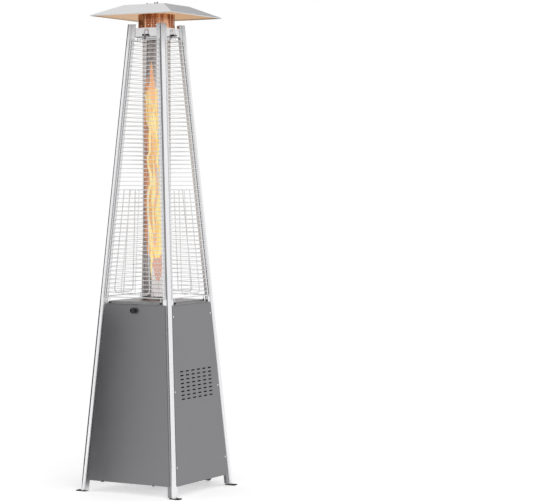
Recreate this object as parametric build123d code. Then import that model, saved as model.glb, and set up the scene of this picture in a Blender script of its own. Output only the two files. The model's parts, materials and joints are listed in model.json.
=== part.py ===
from build123d import *
import math
import os

# Pyramid patio heater: tapered square base, glass flame tube, wire guards, collar and reflector.
# Origin: centre of the base on the floor. +Z up, front with the door towards -Y. Millimetres and degrees.
# The four leaning walls are alike. A wall's own frame has x along the wall, y up its slope from the floor
# and z outwards. "Out" values are horizontal offsets from the plane through the centres of the leg noses.

# Overall taper
BASE_HALF = 250.0
LEG_TOP_HALF = 88.0
LEG_TOP_Z = 2168.0

# Legs: rounded hollow nose with two flanges that lie along the neighbouring walls
NOSE_R = 11.0
NOSE_WALL = 2.5
FLANGE_THICK = 3.0
FLANGE_REACH = 32.0
FLANGE_OUT = 2.5

# Foot plates with an anchor hole each
FOOT_THICK = 4.0
FOOT_IN = 20.0
FOOT_SIDE_OUT = 32.0
FOOT_FRONT_OUT = 14.0
FOOT_CORNER_R = 4.0
ANCHOR_OFFSET = 22.5
ANCHOR_HOLE_R = 3.5
PLUG_HEIGHT = 20.0

# Clearances
FIT_GAP = 0.1
RUN_GAP = 0.05
BODY_GAP = 0.3
SEAT_GAP = 0.2

# Sheet metal of the base
SHEET = 1.5
PANEL_BOTTOM_Z = 53.0
PANEL_TOP_Z = 872.5
PANEL_END_GAP = 9.5
PANEL_CORNER_R = 6.0
CORNER_NOTCH = 12.5
LIP_END_GAP = 1.5

# Vent slots of the side panels
VENT_COLUMNS = 6
VENT_ROWS = 8
VENT_PITCH_X = 48.8
VENT_PITCH_Z = 18.0
VENT_TOP_Z = 567.0
VENT_LENGTH = 28.0
VENT_HEIGHT = 6.0

# Screws of panels and frame: M4 with a dome head
SCREW_R = 2.0
SCREW_HEAD_R = 4.2
SCREW_HEAD_H = 2.6
SCREW_TAIL = 2.0
PANEL_SCREW_TOP_Z = 820.0
PANEL_SCREW_STEP_Z = 341.0
PANEL_SCREW_COUNT = 3
PANEL_SCREW_INSET = 26.0
FRAME_SCREW_INSET = 25.0

# Base tray that the gas cylinder stands on
TRAY_Z = 58.0
TRAY_LIP = 24.0
TRAY_VENT_R = 30.0
TRAY_SCREW_RISE = 16.0
CYLINDER_RING_R = 104.0
CYLINDER_RING_WALL = 2.0
CYLINDER_RING_H = 12.0

# Front door, hinged along its lower edge
DOOR_RETURN = 14.0
DOOR_RETURN_LOW_Z = 96.0
DOOR_RETURN_HIGH_Z = 850.0
DOOR_RETURN_GAP = 3.0
HINGE_X = 140.0
KNUCKLE_R = 4.0
KNUCKLE_LENGTH = 16.0
HINGE_PIN_R = 2.0
HINGE_PIN_HEAD_R = 3.5
HINGE_PIN_HEAD_H = 1.5
EAR_THICK = 3.0
EAR_STEM_OUT = 2.2
EAR_NOTCH_H = 6.0
HINGE_BASE_THICK = 2.0
HINGE_BASE_Z = 61.0
HINGE_BASE_H = 15.0
KNOB_Z = 844.5
KNOB_BALL_R = 13.5
KNOB_NECK_R = 7.0
KNOB_FOOT_R = 10.0
KNOB_FOOT_H = 3.0
KNOB_CENTRE = 15.0
KNOB_SCREW_DEPTH = 12.0
MAGNET_LENGTH = 40.0
MAGNET_HEIGHT = 10.0
MAGNET_RISE = 5.0

# Deck with a raised platform
DECK_Z = 876.0
DECK_LIP = 18.0
DECK_RIM_OUT = 8.0
DECK_TONGUE_GAP = 2.0
DECK_SCREW_DROP = 12.0
PLATFORM_HALF = 178.0
PLATFORM_CORNER_R = 50.0
PLATFORM_RISE = 9.0
PLATFORM_SLOPE = 50.0

# Burner, tube seat and glass tube
BOWL_R = 52.0
BOWL_DEPTH = 40.0
BOWL_RIM_RISE = 5.0
BOWL_FLANGE_R = 76.0
BURNER_PLATE_DROP = 1.0
BURNER_HOLE_R = 2.5
BURNER_RINGS = 3
BURNER_RING_STEP = 11.5
BURNER_HOLES_PER_STEP = 6
MIXER_R = 13.0
MIXER_LENGTH = 26.0
MIXER_WINDOW_H = 8.0
MIXER_WINDOW_W = 9.0
JET_R = 6.0
JET_LENGTH = 12.0
JET_BORE_R = 0.8
SEAT_LIP_H = 8.0
SEAT_HOLE_R = 58.0
SEAT_SCREW_R = 72.0
GASKET_THICK = 2.0
TUBE_R = 66.0
TUBE_WALL = 3.5
TUBE_LENGTH = 1254.0
SLEEVE_LENGTH = 48.0
SLEEVE_GAP = 1.5
SLEEVE_FLANGE_R = 84.0
UPPER_GASKET_H = 10.0
UPPER_GASKET_DROP = 36.0

# Small pan-head screws
SMALL_SCREW_R = 1.5
SMALL_HEAD_R = 3.0
SMALL_HEAD_H = 2.0

# Control panel under the deck
CONTROL_Y = -140.0
CONTROL_HALF = 95.0
CONTROL_BOTTOM_Z = 765.0
CONTROL_RETURN = 34.0
CONTROL_FLANGE = 18.0
CONTROL_SCREW_X = 70.0
CONTROL_AXIS_Z = 800.0

# Gas valve
VALVE_X = -40.0
VALVE_WIDTH = 38.0
VALVE_DEPTH = 50.0
VALVE_HEIGHT = 40.0
VALVE_FLANGE_WIDTH = 24.0
VALVE_FLANGE_HEIGHT = 62.0
VALVE_FLANGE_THICK = 3.0
VALVE_SCREW_RISE = 26.0
VALVE_BORE_R = 7.0
VALVE_BORE_DEPTH = 31.0
PLUNGER_LENGTH = 14.0
PLUNGER_SETBACK = 9.5
SPINDLE_R = 4.0
SPINDLE_HOLE_R = 6.0
SPINDLE_TAIL = 2.0
COLLAR_R = 5.6
COLLAR_LENGTH = 2.5
VALVE_TRAVEL = 4.0
VALVE_KNOB_R = 20.0
VALVE_KNOB_DEPTH = 20.0
VALVE_KNOB_SPARE = 2.0
VALVE_KNOB_BORE = 15.0
VALVE_KNOB_FLUTE_R = 2.5
VALVE_KNOB_FLUTES = 12
FLUTE_PLACE_SHARE = 0.5
VALVE_POINTER_W = 3.0
VALVE_POINTER_H = 1.2
INLET_R = 7.9
INLET_LENGTH = 18.0
INLET_BORE_R = 3.0
INLET_HEX_R = 10.0
INLET_HEX_H = 7.0

# Piezo igniter
IGNITER_X = 45.0
IGNITER_BODY_LENGTH = 48.0
IGNITER_FLANGE_R = 14.0
IGNITER_FLANGE_H = 3.5
IGNITER_BODY_R = 9.0
IGNITER_NUT_R = 13.0
IGNITER_NUT_H = 5.0
IGNITER_BORE_DEPTH = 24.0
BUTTON_R = 6.0
BUTTON_SPARE = 2.5
BUTTON_LENGTH = 24.0
BUTTON_EDGE_R = 1.5
BUTTON_TRAVEL = 6.0

# Tilt switch
TILT_X = 76.0
TILT_SIZE = 24.0
TILT_DEPTH = 18.0

# Pipes and pilot group
FEED_PIPE_R = 4.0
FEED_PIPE_BORE_R = 3.0
FEED_PIPE_BEND = 9.0
PILOT_X = -42.0
PILOT_TUBE_R = 2.0
PILOT_TUBE_BEND = 8.0
PILOT_TUBE_RISE = 16.0
PILOT_PITCH = 10.0
PILOT_TUBE_BORE_R = 1.2
PILOT_TIP_RISE = 12.0
PROBE_R = 2.0
PROBE_LENGTH = 70.0
ELECTRODE_R = 1.2
CERAMIC_R = 2.8
CERAMIC_LENGTH = 44.0
CERAMIC_DROP = 8.0
PILOT_BRACKET_W = 14.0
PILOT_BRACKET_END = 7.0

# Wire guards
GUARD_OUT = 5.3
GUARD_BOTTOM_Z = 905.0
GUARD_TOP_Z = 2093.0
GUARD_RAIL_R = 2.5
GUARD_BAR_R = 2.2
RAIL_OVERRUN = 4.0
GUARD_WIRE_R = 1.5
GUARD_WIRE_PITCH_Z = 19.8
GUARD_RAIL_INSET = 16.5
WIRE_OVERHANG = 4.0
WELD_SINK = 0.6
SUBFRAME_R = 2.0
SUBFRAME_MIDDLE_R = 1.7
SUBFRAME_TOP_Z = 1400.0
SUBFRAME_BOTTOM_Z = 918.0
SUBFRAME_TOP_HALF = 47.0
SUBFRAME_BOTTOM_HALF = 79.0
SUBFRAME_CORNER_R = 22.0
SUBFRAME_SHOULDER_R = 5.0
LOOP_R = 1.9
LOOP_HALF = 10.5
LOOP_TOP_Z = 2145.0
FOOT_PEG_INSET = 42.0
FOOT_PEG_SETBACK = 2.6
GUARD_FOOT_R = 5.0
GUARD_FOOT_H = 9.0
GUARD_FOOT_FLOOR = 2.0
GUARD_FOOT_PLAY = 1.0
CLIP_WIDTH = 30.0
CLIP_HEIGHT = 7.0
CLIP_Z = 2112.0
CLIP_FRONT = 4.0

# Collar between the leg tops
COLLAR_BOTTOM_Z = 2110.0
COLLAR_TOP_Z = 2150.0
COLLAR_SCREW_Z = 2130.0

# Flame screen and its cap
SCREEN_R = 85.5
SCREEN_WALL = 1.2
SCREEN_HEIGHT = 63.0
SCREEN_FLANGE_R = 74.0
SCREEN_SCREW_R = 79.0
SCREEN_HOLE_R = 2.0
SCREEN_HOLE_ROWS = 4
SCREEN_HOLE_COUNT = 30
SCREEN_ROW_PITCH = 12.0
CAP_THICK = 1.5

# Reflector, studs, spacers and wing nuts
REFLECTOR_HALF = 221.5
REFLECTOR_FLAT_HALF = 110.0
REFLECTOR_RIM_Z = 2203.0
REFLECTOR_TOP_Z = 2257.0
REFLECTOR_HEM = 4.0
STUD_COUNT = 3
STUD_CIRCLE_R = 42.0
STUD_FIRST_ANGLE = -60.0
STUD_R = 3.0
STUD_HEAD_R = 6.0
STUD_HEAD_H = 3.0
STUD_TAIL = 9.0
SPACER_R = 5.5
WING_HUB_R = 5.5
WING_HUB_H = 7.0
WING_LENGTH = 14.0
WING_WIDTH = 8.0
WING_THICK = 2.2
WING_X = 9.0
WING_RISE = 8.0
WING_SLOPE = 45
WING_TURNS = (-25, 20, 83)

# Wheels behind the rear panel, just clear of the floor
WHEEL_R = 29.0
WHEEL_WIDTH = 22.0
WHEEL_X = 105.0
WHEEL_Y = 282.0
WHEEL_FLOOR_GAP = 5.0
WHEEL_RECESS_R = 20.0
WHEEL_RECESS = 4.0
WHEEL_HUB_R = 9.0
WHEEL_HUB_PROUD = 0.7
WHEEL_EDGE_R = 3.0
AXLE_R = 4.0
AXLE_HEAD_R = 6.5
AXLE_HEAD_H = 4.0
BRACKET_THICK = 3.0
BRACKET_BRIDGE = 28.0
BRACKET_FRONT_Y = 178.0
BRACKET_BACK_Y = 228.0
BRACKET_BOTTOM_Z = 40.0
BRACKET_EYE_R = 8.0

# Overrun of cuts and angular shares
CUT = 5.0
HALF_TURN = 180
QUARTER_TURN = 90
EIGHTH_TURN = 45
HEX_SIDES = 6
FRONT, RIGHT, REAR, LEFT = 0, 1, 2, 3
SIDES = (FRONT, RIGHT, REAR, LEFT)
PANEL_SIDES = (RIGHT, REAR, LEFT)

LEAN = (BASE_HALF - LEG_TOP_HALF) / LEG_TOP_Z
TILT = math.atan(LEAN)

FLANGE_IN = FLANGE_OUT - FLANGE_THICK
INNER_OUT = FLANGE_IN - SEAT_GAP
PLATFORM_Z = DECK_Z + PLATFORM_RISE
TUBE_BOTTOM_Z = PLATFORM_Z + 2 * SHEET + GASKET_THICK
BOWL_BOTTOM_Z = PLATFORM_Z + BOWL_RIM_RISE - BOWL_DEPTH
BURNER_PLATE_Z = PLATFORM_Z - BURNER_PLATE_DROP
TUBE_BORE_R = TUBE_R - TUBE_WALL
SCREEN_TOP_Z = COLLAR_TOP_Z + SCREEN_HEIGHT
DOOR_OUT = FLANGE_OUT + BODY_GAP
WHEEL_Z = WHEEL_R + WHEEL_FLOOR_GAP
VALVE_FRONT_Y = CONTROL_Y + SHEET


def half(z):
    """Distance from the axis to the plane of the nose centres at a height."""
    return BASE_HALF - LEAN * z


def up(z):
    """Distance up the slope of a wall at a height."""
    return z / math.cos(TILT)


def depth(out):
    """Distance square to a wall of a horizontal offset."""
    return out * math.cos(TILT)


def turned(shape, side):
    """A shape of the front wall carried round to another side."""
    return Rot(0, 0, QUARTER_TURN * side) * shape


def wall(out):
    """Frame of the front wall at a horizontal offset from the nose centres."""
    origin = (0, -(BASE_HALF + out), 0)
    return Plane(origin=origin, x_dir=(1, 0, 0), z_dir=(0, -1, LEAN))


def wall_sheet(low_z, high_z, out, thick, end_inset):
    """Trapezoid sheet in the plane of the front wall."""
    low = half(low_z) - end_inset
    high = half(high_z) - end_inset
    points = [(-low, up(low_z)), (low, up(low_z)), (high, up(high_z)), (-high, up(high_z))]
    return wall(out) * extrude(make_face(Polyline(*points, close=True)), depth(thick))


def wall_box(low, high, out, thick):
    """Box in the front wall's frame between two (x, height) corners."""
    width = high[0] - low[0]
    rise = up(high[1]) - up(low[1])
    middle = Pos((low[0] + high[0]) / 2, (up(low[1]) + up(high[1])) / 2, depth(thick) / 2)
    return wall(out) * (middle * Box(width, rise, depth(thick)))


def rod(start, end, radius):
    """Round bar between two points."""
    first = Vector(*start)
    run = Vector(*end) - first
    return Solid.make_cylinder(radius, run.length, Plane(origin=first, z_dir=run))


def ring(outer, inner, low_z, high_z):
    """Upright ring between two heights."""
    middle = Pos(0, 0, (low_z + high_z) / 2)
    return middle * (Cylinder(outer, high_z - low_z) - Cylinder(inner, high_z - low_z + CUT))


def fused(pieces):
    """One solid from overlapping pieces."""
    return pieces[0].fuse(*pieces[1:])


def shaft(x, front_y, length, radius, z):
    """Round bar along Y that starts at its front face."""
    return rod((x, front_y, z), (x, front_y + length, z), radius)


def screw(place, length, radius=SCREW_R, head_r=SCREW_HEAD_R, head_h=SCREW_HEAD_H):
    """Dome-headed screw: the head stands along the place's z and the shank runs the other way."""
    shank = Pos(0, 0, -length / 2) * Cylinder(radius, length)
    dome_r = (head_r**2 + head_h**2) / (2 * head_h)
    dome = Pos(0, 0, head_h - dome_r) * Sphere(dome_r)
    head = Pos(0, 0, head_h / 2) * Cylinder(head_r, head_h) & dome
    return place * (shank + head)


def wall_place(x, z, out, inwards=False):
    """Place on a square line through the front wall, its z outwards, or inwards for a screw from inside."""
    place = wall(0).location * Pos(x, up(z), depth(out))
    if inwards:
        return place * Rot(HALF_TURN, 0, 0)
    return place


def group(solids):
    """Separate solids that share one node."""
    flat = []
    for solid in solids:
        flat.extend(solid.solids())
    return Compound(children=flat)


def hole(place, radius, reach=CUT):
    """Cutter for a hole through a thin sheet."""
    return place * Cylinder(radius, 2 * reach)


def places_on_circle(count, radius, first_angle=EIGHTH_TURN):
    """Places spread evenly on a circle round the axis."""
    step = 2 * HALF_TURN / count
    return [Rot(0, 0, first_angle + step * i) * Pos(radius, 0, 0) for i in range(count)]


def frame_screw_levels():
    """Heights of the screws that hold tray, deck and collar to the leg flanges."""
    return (TRAY_Z + TRAY_SCREW_RISE, DECK_Z - DECK_SCREW_DROP, COLLAR_SCREW_Z)


def panel_screw_levels():
    """Heights of the screws along one edge of a panel."""
    return [PANEL_SCREW_TOP_Z - PANEL_SCREW_STEP_Z * i for i in range(PANEL_SCREW_COUNT)]


def flange_holes(levels, inset, sides, sign):
    """Cutters for screws through the flanges at one end of the given walls."""
    cutters = []
    for side in sides:
        for z in levels:
            place = wall_place(sign * (half(z) - inset), z, FLANGE_OUT)
            cutters.append(turned(hole(place, SCREW_R + FIT_GAP), side))
    return cutters


# Legs and feet

def leg_section():
    """Front right leg at floor level: hollow nose with a flange along each neighbouring wall."""
    nose = Pos(BASE_HALF, -BASE_HALF) * Circle(NOSE_R)
    bore = Pos(BASE_HALF, -BASE_HALF) * Circle(NOSE_R - NOSE_WALL)
    length = FLANGE_REACH - NOSE_R + NOSE_WALL / 2
    along = BASE_HALF - FLANGE_REACH + length / 2
    across = BASE_HALF + FLANGE_OUT - FLANGE_THICK / 2
    front_flange = Pos(along, -across) * Rectangle(length, FLANGE_THICK)
    right_flange = Pos(across, -along) * Rectangle(FLANGE_THICK, length)
    return nose + front_flange + right_flange - bore


def leaning_prism(section, low_z, high_z):
    """Section drawn at floor level, carried up the lean of the front right corner."""
    start = Pos(-LEAN * low_z, LEAN * low_z, low_z) * section.face()
    return Solid.extrude(start, Vector(-LEAN, LEAN, 1) * (high_z - low_z))


def make_leg(side):
    """Leg between a wall and the next one, with the screw holes of both."""
    leg = turned(leaning_prism(leg_section(), FOOT_THICK, LEG_TOP_Z), side)
    following = (side + 1) % len(SIDES)
    cutters = flange_holes(frame_screw_levels(), FRAME_SCREW_INSET, [side], 1)
    cutters += flange_holes(frame_screw_levels(), FRAME_SCREW_INSET, [following], -1)
    if side in PANEL_SIDES:
        cutters += flange_holes(panel_screw_levels(), PANEL_SCREW_INSET, [side], 1)
    if following in PANEL_SIDES:
        cutters += flange_holes(panel_screw_levels(), PANEL_SCREW_INSET, [following], -1)
    return leg - cutters


def make_foot_plates():
    """Plates under the legs, drawn out sideways for an anchor, with a plug in the leg's nose."""
    width = FOOT_IN + FOOT_SIDE_OUT
    depth_y = FOOT_IN + FOOT_FRONT_OUT
    middle = Pos(BASE_HALF - FOOT_IN + width / 2, -BASE_HALF + FOOT_IN - depth_y / 2)
    outline = middle * RectangleRounded(width, depth_y, FOOT_CORNER_R)
    outline -= Pos(BASE_HALF + ANCHOR_OFFSET, -BASE_HALF) * Circle(ANCHOR_HOLE_R)
    plug = Pos(BASE_HALF, -BASE_HALF) * Circle(NOSE_R - NOSE_WALL - FIT_GAP)
    plug = leaning_prism(plug, FOOT_THICK / 2, FOOT_THICK + PLUG_HEIGHT)
    front_right = extrude(outline, FOOT_THICK) + plug
    front_left = mirror(front_right, about=Plane.YZ)
    rear_right = mirror(front_right, about=Plane.XZ)
    rear_left = mirror(front_left, about=Plane.XZ)
    return group([front_right, rear_right, rear_left, front_left])


# Sheet panels of the base

def panel_sheet(out):
    """Trapezoid panel with rounded lower corners."""
    inset = NOSE_R + PANEL_END_GAP
    low = half(PANEL_BOTTOM_Z) - inset
    high = half(PANEL_TOP_Z) - inset
    bottom, top = up(PANEL_BOTTOM_Z), up(PANEL_TOP_Z)
    outline = make_face(Polyline((-low, bottom), (low, bottom), (high, top), (-high, top), close=True))
    outline = fillet(outline.vertices().group_by(Axis.Y)[0], PANEL_CORNER_R)
    return wall(out) * extrude(outline, depth(SHEET))


def vent_cutters():
    """Rows of round-ended slots."""
    cutters = []
    for row in range(VENT_ROWS):
        z = VENT_TOP_Z - VENT_PITCH_Z * row
        for column in range(VENT_COLUMNS):
            x = VENT_PITCH_X * (column - (VENT_COLUMNS - 1) / 2)
            slot = extrude(SlotOverall(VENT_LENGTH, VENT_HEIGHT), CUT, both=True)
            cutters.append(wall_place(x, z, FLANGE_OUT) * slot)
    return cutters


def make_panel(side, vented):
    """Fixed panel on the outside of two leg flanges."""
    sheet = panel_sheet(FLANGE_OUT)
    cutters = flange_holes(panel_screw_levels(), PANEL_SCREW_INSET, [FRONT], 1)
    cutters += flange_holes(panel_screw_levels(), PANEL_SCREW_INSET, [FRONT], -1)
    if vented:
        cutters += vent_cutters()
    return turned(sheet - cutters, side)


def make_panel_screws():
    """Dome-headed screws of the three fixed panels."""
    screws = []
    length = SHEET + FLANGE_THICK + SCREW_TAIL
    for side in PANEL_SIDES:
        for z in panel_screw_levels():
            for sign in (-1, 1):
                place = wall_place(sign * (half(z) - PANEL_SCREW_INSET), z, FLANGE_OUT + SHEET)
                screws.append(turned(screw(place, length), side))
    return group(screws)


def make_frame_screws():
    """Screws from inside that hold tray, deck and collar to the leg flanges."""
    screws = []
    length = SHEET + SEAT_GAP + FLANGE_THICK - FIT_GAP
    for side in SIDES:
        for z in frame_screw_levels():
            for sign in (-1, 1):
                x = sign * (half(z) - FRAME_SCREW_INSET)
                place = wall_place(x, z, INNER_OUT - SHEET, inwards=True)
                screws.append(turned(screw(place, depth(length)), side))
    return group(screws)


# Tray, deck and collar: square plates with a lip behind each pair of flanges

def framed_plate(plate_z, lip_low_z, lip_high_z):
    """Plate whose top is at plate_z, notched round the legs, with four leaning lips.

    The lips start or end in the middle of the plate.
    """
    edge = half(plate_z) + INNER_OUT
    plate = Pos(0, 0, plate_z - SHEET / 2) * Box(2 * edge, 2 * edge, SHEET)
    reach = CORNER_NOTCH + CUT
    middle = half(plate_z) - CORNER_NOTCH + reach / 2
    notch = Pos(middle, -middle, plate_z) * Box(reach, reach, 2 * CUT)
    plate -= [turned(notch, side) for side in SIDES]
    lip = wall_sheet(lip_low_z, lip_high_z, INNER_OUT - SHEET, SHEET, CORNER_NOTCH + LIP_END_GAP)
    for side in SIDES:
        plate += turned(lip, side)
    level = (lip_low_z, lip_high_z)
    screws = [z for z in frame_screw_levels() if level[0] < z < level[1]]
    cutters = flange_holes(screws, FRAME_SCREW_INSET, SIDES, 1)
    cutters += flange_holes(screws, FRAME_SCREW_INSET, SIDES, -1)
    return plate - cutters


def make_tray():
    """Base tray with a vent in the middle."""
    tray = framed_plate(TRAY_Z, TRAY_Z - SHEET / 2, TRAY_Z - SHEET + TRAY_LIP)
    return tray - Pos(0, 0, TRAY_Z) * Cylinder(TRAY_VENT_R, 2 * CUT)


def make_cylinder_ring():
    """Ring welded on the tray that centres the gas cylinder."""
    inner = CYLINDER_RING_R - CYLINDER_RING_WALL
    return ring(CYLINDER_RING_R, inner, TRAY_Z, TRAY_Z + CYLINDER_RING_H)


def platform_block():
    """Rounded square with sloping sides, as high as the platform and the sheet."""
    outline = RectangleRounded(2 * PLATFORM_HALF, 2 * PLATFORM_HALF, PLATFORM_CORNER_R)
    return extrude(outline, PLATFORM_RISE + SHEET, taper=PLATFORM_SLOPE)


def control_screw_places():
    """Places of the control panel's two screws, seen from below."""
    y = CONTROL_Y + CONTROL_FLANGE / 2
    low = PLATFORM_Z - 2 * SHEET
    return [Pos(sign * CONTROL_SCREW_X, y, low) * Rot(HALF_TURN, 0, 0) for sign in (-1, 1)]


def make_deck():
    """Deck with a raised hollow platform, a rim over each panel and the burner hole."""
    deck = framed_plate(DECK_Z, DECK_Z - DECK_LIP, DECK_Z - SHEET / 2)
    tongue_half = half(DECK_Z) - FLANGE_REACH - DECK_TONGUE_GAP
    tongue_depth = DECK_RIM_OUT - INNER_OUT + SHEET
    tongue_y = -(half(DECK_Z) + DECK_RIM_OUT) + tongue_depth / 2
    tongue = Pos(0, tongue_y, DECK_Z - SHEET / 2) * Box(2 * tongue_half, tongue_depth, SHEET)
    for side in SIDES:
        deck += turned(tongue, side)
    deck += Pos(0, 0, DECK_Z - SHEET) * platform_block()
    deck -= Pos(0, 0, DECK_Z - 2 * SHEET) * platform_block()
    cutters = [Pos(0, 0, PLATFORM_Z) * Cylinder(BOWL_R + SEAT_GAP, 2 * CUT)]
    for place in places_on_circle(len(SIDES), SEAT_SCREW_R):
        cutters.append(hole(Pos(0, 0, PLATFORM_Z) * place, SMALL_SCREW_R + FIT_GAP))
    for place in control_screw_places():
        cutters.append(hole(place, SMALL_SCREW_R + FIT_GAP))
    return deck - cutters


def make_collar():
    """Square collar between the leg tops, open in the middle for the hot gas."""
    collar = framed_plate(COLLAR_TOP_Z, COLLAR_BOTTOM_Z, COLLAR_TOP_Z - SHEET / 2)
    cutters = [Pos(0, 0, COLLAR_TOP_Z) * Cylinder(TUBE_BORE_R, 2 * CUT)]
    for place in places_on_circle(len(SIDES), SCREEN_SCREW_R):
        cutters.append(hole(Pos(0, 0, COLLAR_TOP_Z) * place, SMALL_SCREW_R + FIT_GAP))
    for side in SIDES:
        clip_hole = hole(wall_place(0, clip_middle_z(), FLANGE_OUT), SMALL_SCREW_R + FIT_GAP)
        cutters.append(turned(clip_hole, side))
    return collar - cutters


# Front door, its hinges, magnet and knob

def hinge_axis_out():
    """Offset of the hinge axis: the middle of the door's sheet."""
    return DOOR_OUT + SHEET / 2


def hinge_bar(x, length, radius):
    """Bar on the door's hinge axis, centred at x."""
    level = up(PANEL_BOTTOM_Z)
    bar = rod((x - length / 2, level, 0), (x + length / 2, level, 0), radius)
    return wall(hinge_axis_out()) * bar


def ear_offset():
    """Distance of an ear's middle from the middle of its hinge."""
    return KNUCKLE_LENGTH / 2 + BODY_GAP + EAR_THICK / 2


def hinge_half_width():
    """Half the width of a hinge over its pin heads."""
    return ear_offset() + EAR_THICK / 2 + HINGE_PIN_HEAD_H


def door_return(sign):
    """Stiffening strip that stands inwards beside the leg flange."""
    near = FLANGE_REACH + DOOR_RETURN_GAP
    low = half(DOOR_RETURN_LOW_Z) - near
    high = half(DOOR_RETURN_HIGH_Z) - near
    bottom, top = up(DOOR_RETURN_LOW_Z), up(DOOR_RETURN_HIGH_Z)
    points = [(low, bottom), (high, top), (high - SHEET, top), (low - SHEET, bottom)]
    outline = make_face(Polyline(*[(sign * x, y) for x, y in points], close=True))
    out = DOOR_OUT - DOOR_RETURN
    return wall(out) * extrude(outline, depth(DOOR_RETURN + SHEET / 2), dir=(0, 0, 1))


def make_door():
    """Door sheet with side returns, two hinge knuckles and the hole of the knob's screw."""
    door = panel_sheet(DOOR_OUT)
    for sign in (-1, 1):
        door += door_return(sign)
        centre = sign * HINGE_X
        clear = hinge_half_width() + BODY_GAP
        low = (centre - clear, PANEL_BOTTOM_Z - CUT)
        high = (centre + clear, PANEL_BOTTOM_Z + EAR_NOTCH_H)
        notch = wall_box(low, high, DOOR_OUT - SHEET, 3 * SHEET)
        low = (centre - KNUCKLE_LENGTH / 2, PANEL_BOTTOM_Z - 2 * CUT)
        high = (centre + KNUCKLE_LENGTH / 2, PANEL_BOTTOM_Z + 2 * CUT)
        door -= notch - wall_box(low, high, DOOR_OUT - 2 * SHEET, 5 * SHEET)
        door += hinge_bar(centre, KNUCKLE_LENGTH, KNUCKLE_R)
        door -= hinge_bar(centre, KNUCKLE_LENGTH + CUT, HINGE_PIN_R + RUN_GAP)
    return door - hole(wall_place(0, KNOB_Z, DOOR_OUT), SCREW_R + FIT_GAP)


def make_hinges():
    """Fixed hinge halves on the tray's front lip, each with two ears."""
    hinges = []
    for centre in (-HINGE_X, HINGE_X):
        edge = ear_offset() + EAR_THICK / 2
        top_z = HINGE_BASE_Z + HINGE_BASE_H
        low = (centre - edge, HINGE_BASE_Z)
        pieces = [wall_box(low, (centre + edge, top_z), INNER_OUT, HINGE_BASE_THICK)]
        for sign in (-1, 1):
            x = centre + sign * ear_offset()
            low = (x - EAR_THICK / 2, PANEL_BOTTOM_Z - KNUCKLE_R)
            stem_high = (x + EAR_THICK / 2, top_z)
            heel_high = (x + EAR_THICK / 2, PANEL_BOTTOM_Z + KNUCKLE_R)
            pieces.append(wall_box(low, stem_high, INNER_OUT, EAR_STEM_OUT - INNER_OUT))
            pieces.append(wall_box(low, heel_high, INNER_OUT, hinge_axis_out() - INNER_OUT))
            pieces.append(hinge_bar(x, EAR_THICK, KNUCKLE_R))
        body = fused(pieces)
        hinges.append(body - hinge_bar(centre, 2 * (edge + CUT), HINGE_PIN_R + RUN_GAP))
    return group(hinges)


def make_hinge_pins():
    """Riveted pins of the two door hinges."""
    pins = []
    for centre in (-HINGE_X, HINGE_X):
        pin = hinge_bar(centre, 2 * hinge_half_width(), HINGE_PIN_R)
        for sign in (-1, 1):
            x = centre + sign * (hinge_half_width() - HINGE_PIN_HEAD_H / 2)
            pin += hinge_bar(x, HINGE_PIN_HEAD_H, HINGE_PIN_HEAD_R)
        pins.append(pin)
    return group(pins)


def make_magnet():
    """Magnet on the deck's front lip that holds the door shut."""
    low_z = DECK_Z - DECK_LIP + MAGNET_RISE
    low = (-MAGNET_LENGTH / 2, low_z)
    high = (MAGNET_LENGTH / 2, low_z + MAGNET_HEIGHT)
    return wall_box(low, high, INNER_OUT, FLANGE_OUT - INNER_OUT - SEAT_GAP)


def make_door_knob():
    """Round pull knob with a foot, a neck and a blind bore for its screw."""
    foot = Pos(0, 0, KNOB_FOOT_H / 2) * Cylinder(KNOB_FOOT_R, KNOB_FOOT_H)
    neck = Pos(0, 0, KNOB_CENTRE / 2) * Cylinder(KNOB_NECK_R, KNOB_CENTRE)
    ball = Pos(0, 0, KNOB_CENTRE) * Sphere(KNOB_BALL_R)
    ball -= Pos(0, 0, -CUT / 2) * Box(2 * KNOB_BALL_R, 2 * KNOB_BALL_R, CUT)
    bore = Pos(0, 0, KNOB_SCREW_DEPTH / 2) * Cylinder(SCREW_R + FIT_GAP, KNOB_SCREW_DEPTH + 2 * BODY_GAP)
    return wall_place(0, KNOB_Z, DOOR_OUT + SHEET) * (foot + neck + ball - bore)


def make_knob_screw():
    """Screw through the door into the knob, its head inside."""
    place = wall_place(0, KNOB_Z, DOOR_OUT, inwards=True)
    return screw(place, SHEET + KNOB_SCREW_DEPTH)


# Control panel with valve, igniter and tilt switch

def make_control_panel():
    """Folded plate that hangs from the platform and carries the controls."""
    height = PLATFORM_Z - SHEET - CONTROL_BOTTOM_Z
    middle_z = CONTROL_BOTTOM_Z + height / 2
    panel = Pos(0, CONTROL_Y + SHEET / 2, middle_z) * Box(2 * CONTROL_HALF, SHEET, height)
    for sign in (-1, 1):
        x = sign * (CONTROL_HALF - SHEET / 2)
        panel += Pos(x, CONTROL_Y + CONTROL_RETURN / 2, middle_z) * Box(SHEET, CONTROL_RETURN, height)
    flange_z = PLATFORM_Z - SHEET - SHEET / 2
    panel += Pos(0, CONTROL_Y + CONTROL_FLANGE / 2, flange_z) * Box(2 * CONTROL_HALF, CONTROL_FLANGE, SHEET)
    cutters = [shaft(VALVE_X, CONTROL_Y - CUT, 2 * CUT, SPINDLE_HOLE_R, CONTROL_AXIS_Z)]
    cutters.append(shaft(IGNITER_X, CONTROL_Y - CUT, 2 * CUT, IGNITER_BODY_R + FIT_GAP, CONTROL_AXIS_Z))
    cutters += [hole(place, SMALL_SCREW_R + FIT_GAP) for place in valve_screw_places()]
    cutters += [hole(place, SMALL_SCREW_R + FIT_GAP) for place in control_screw_places()]
    return panel - cutters


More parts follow.
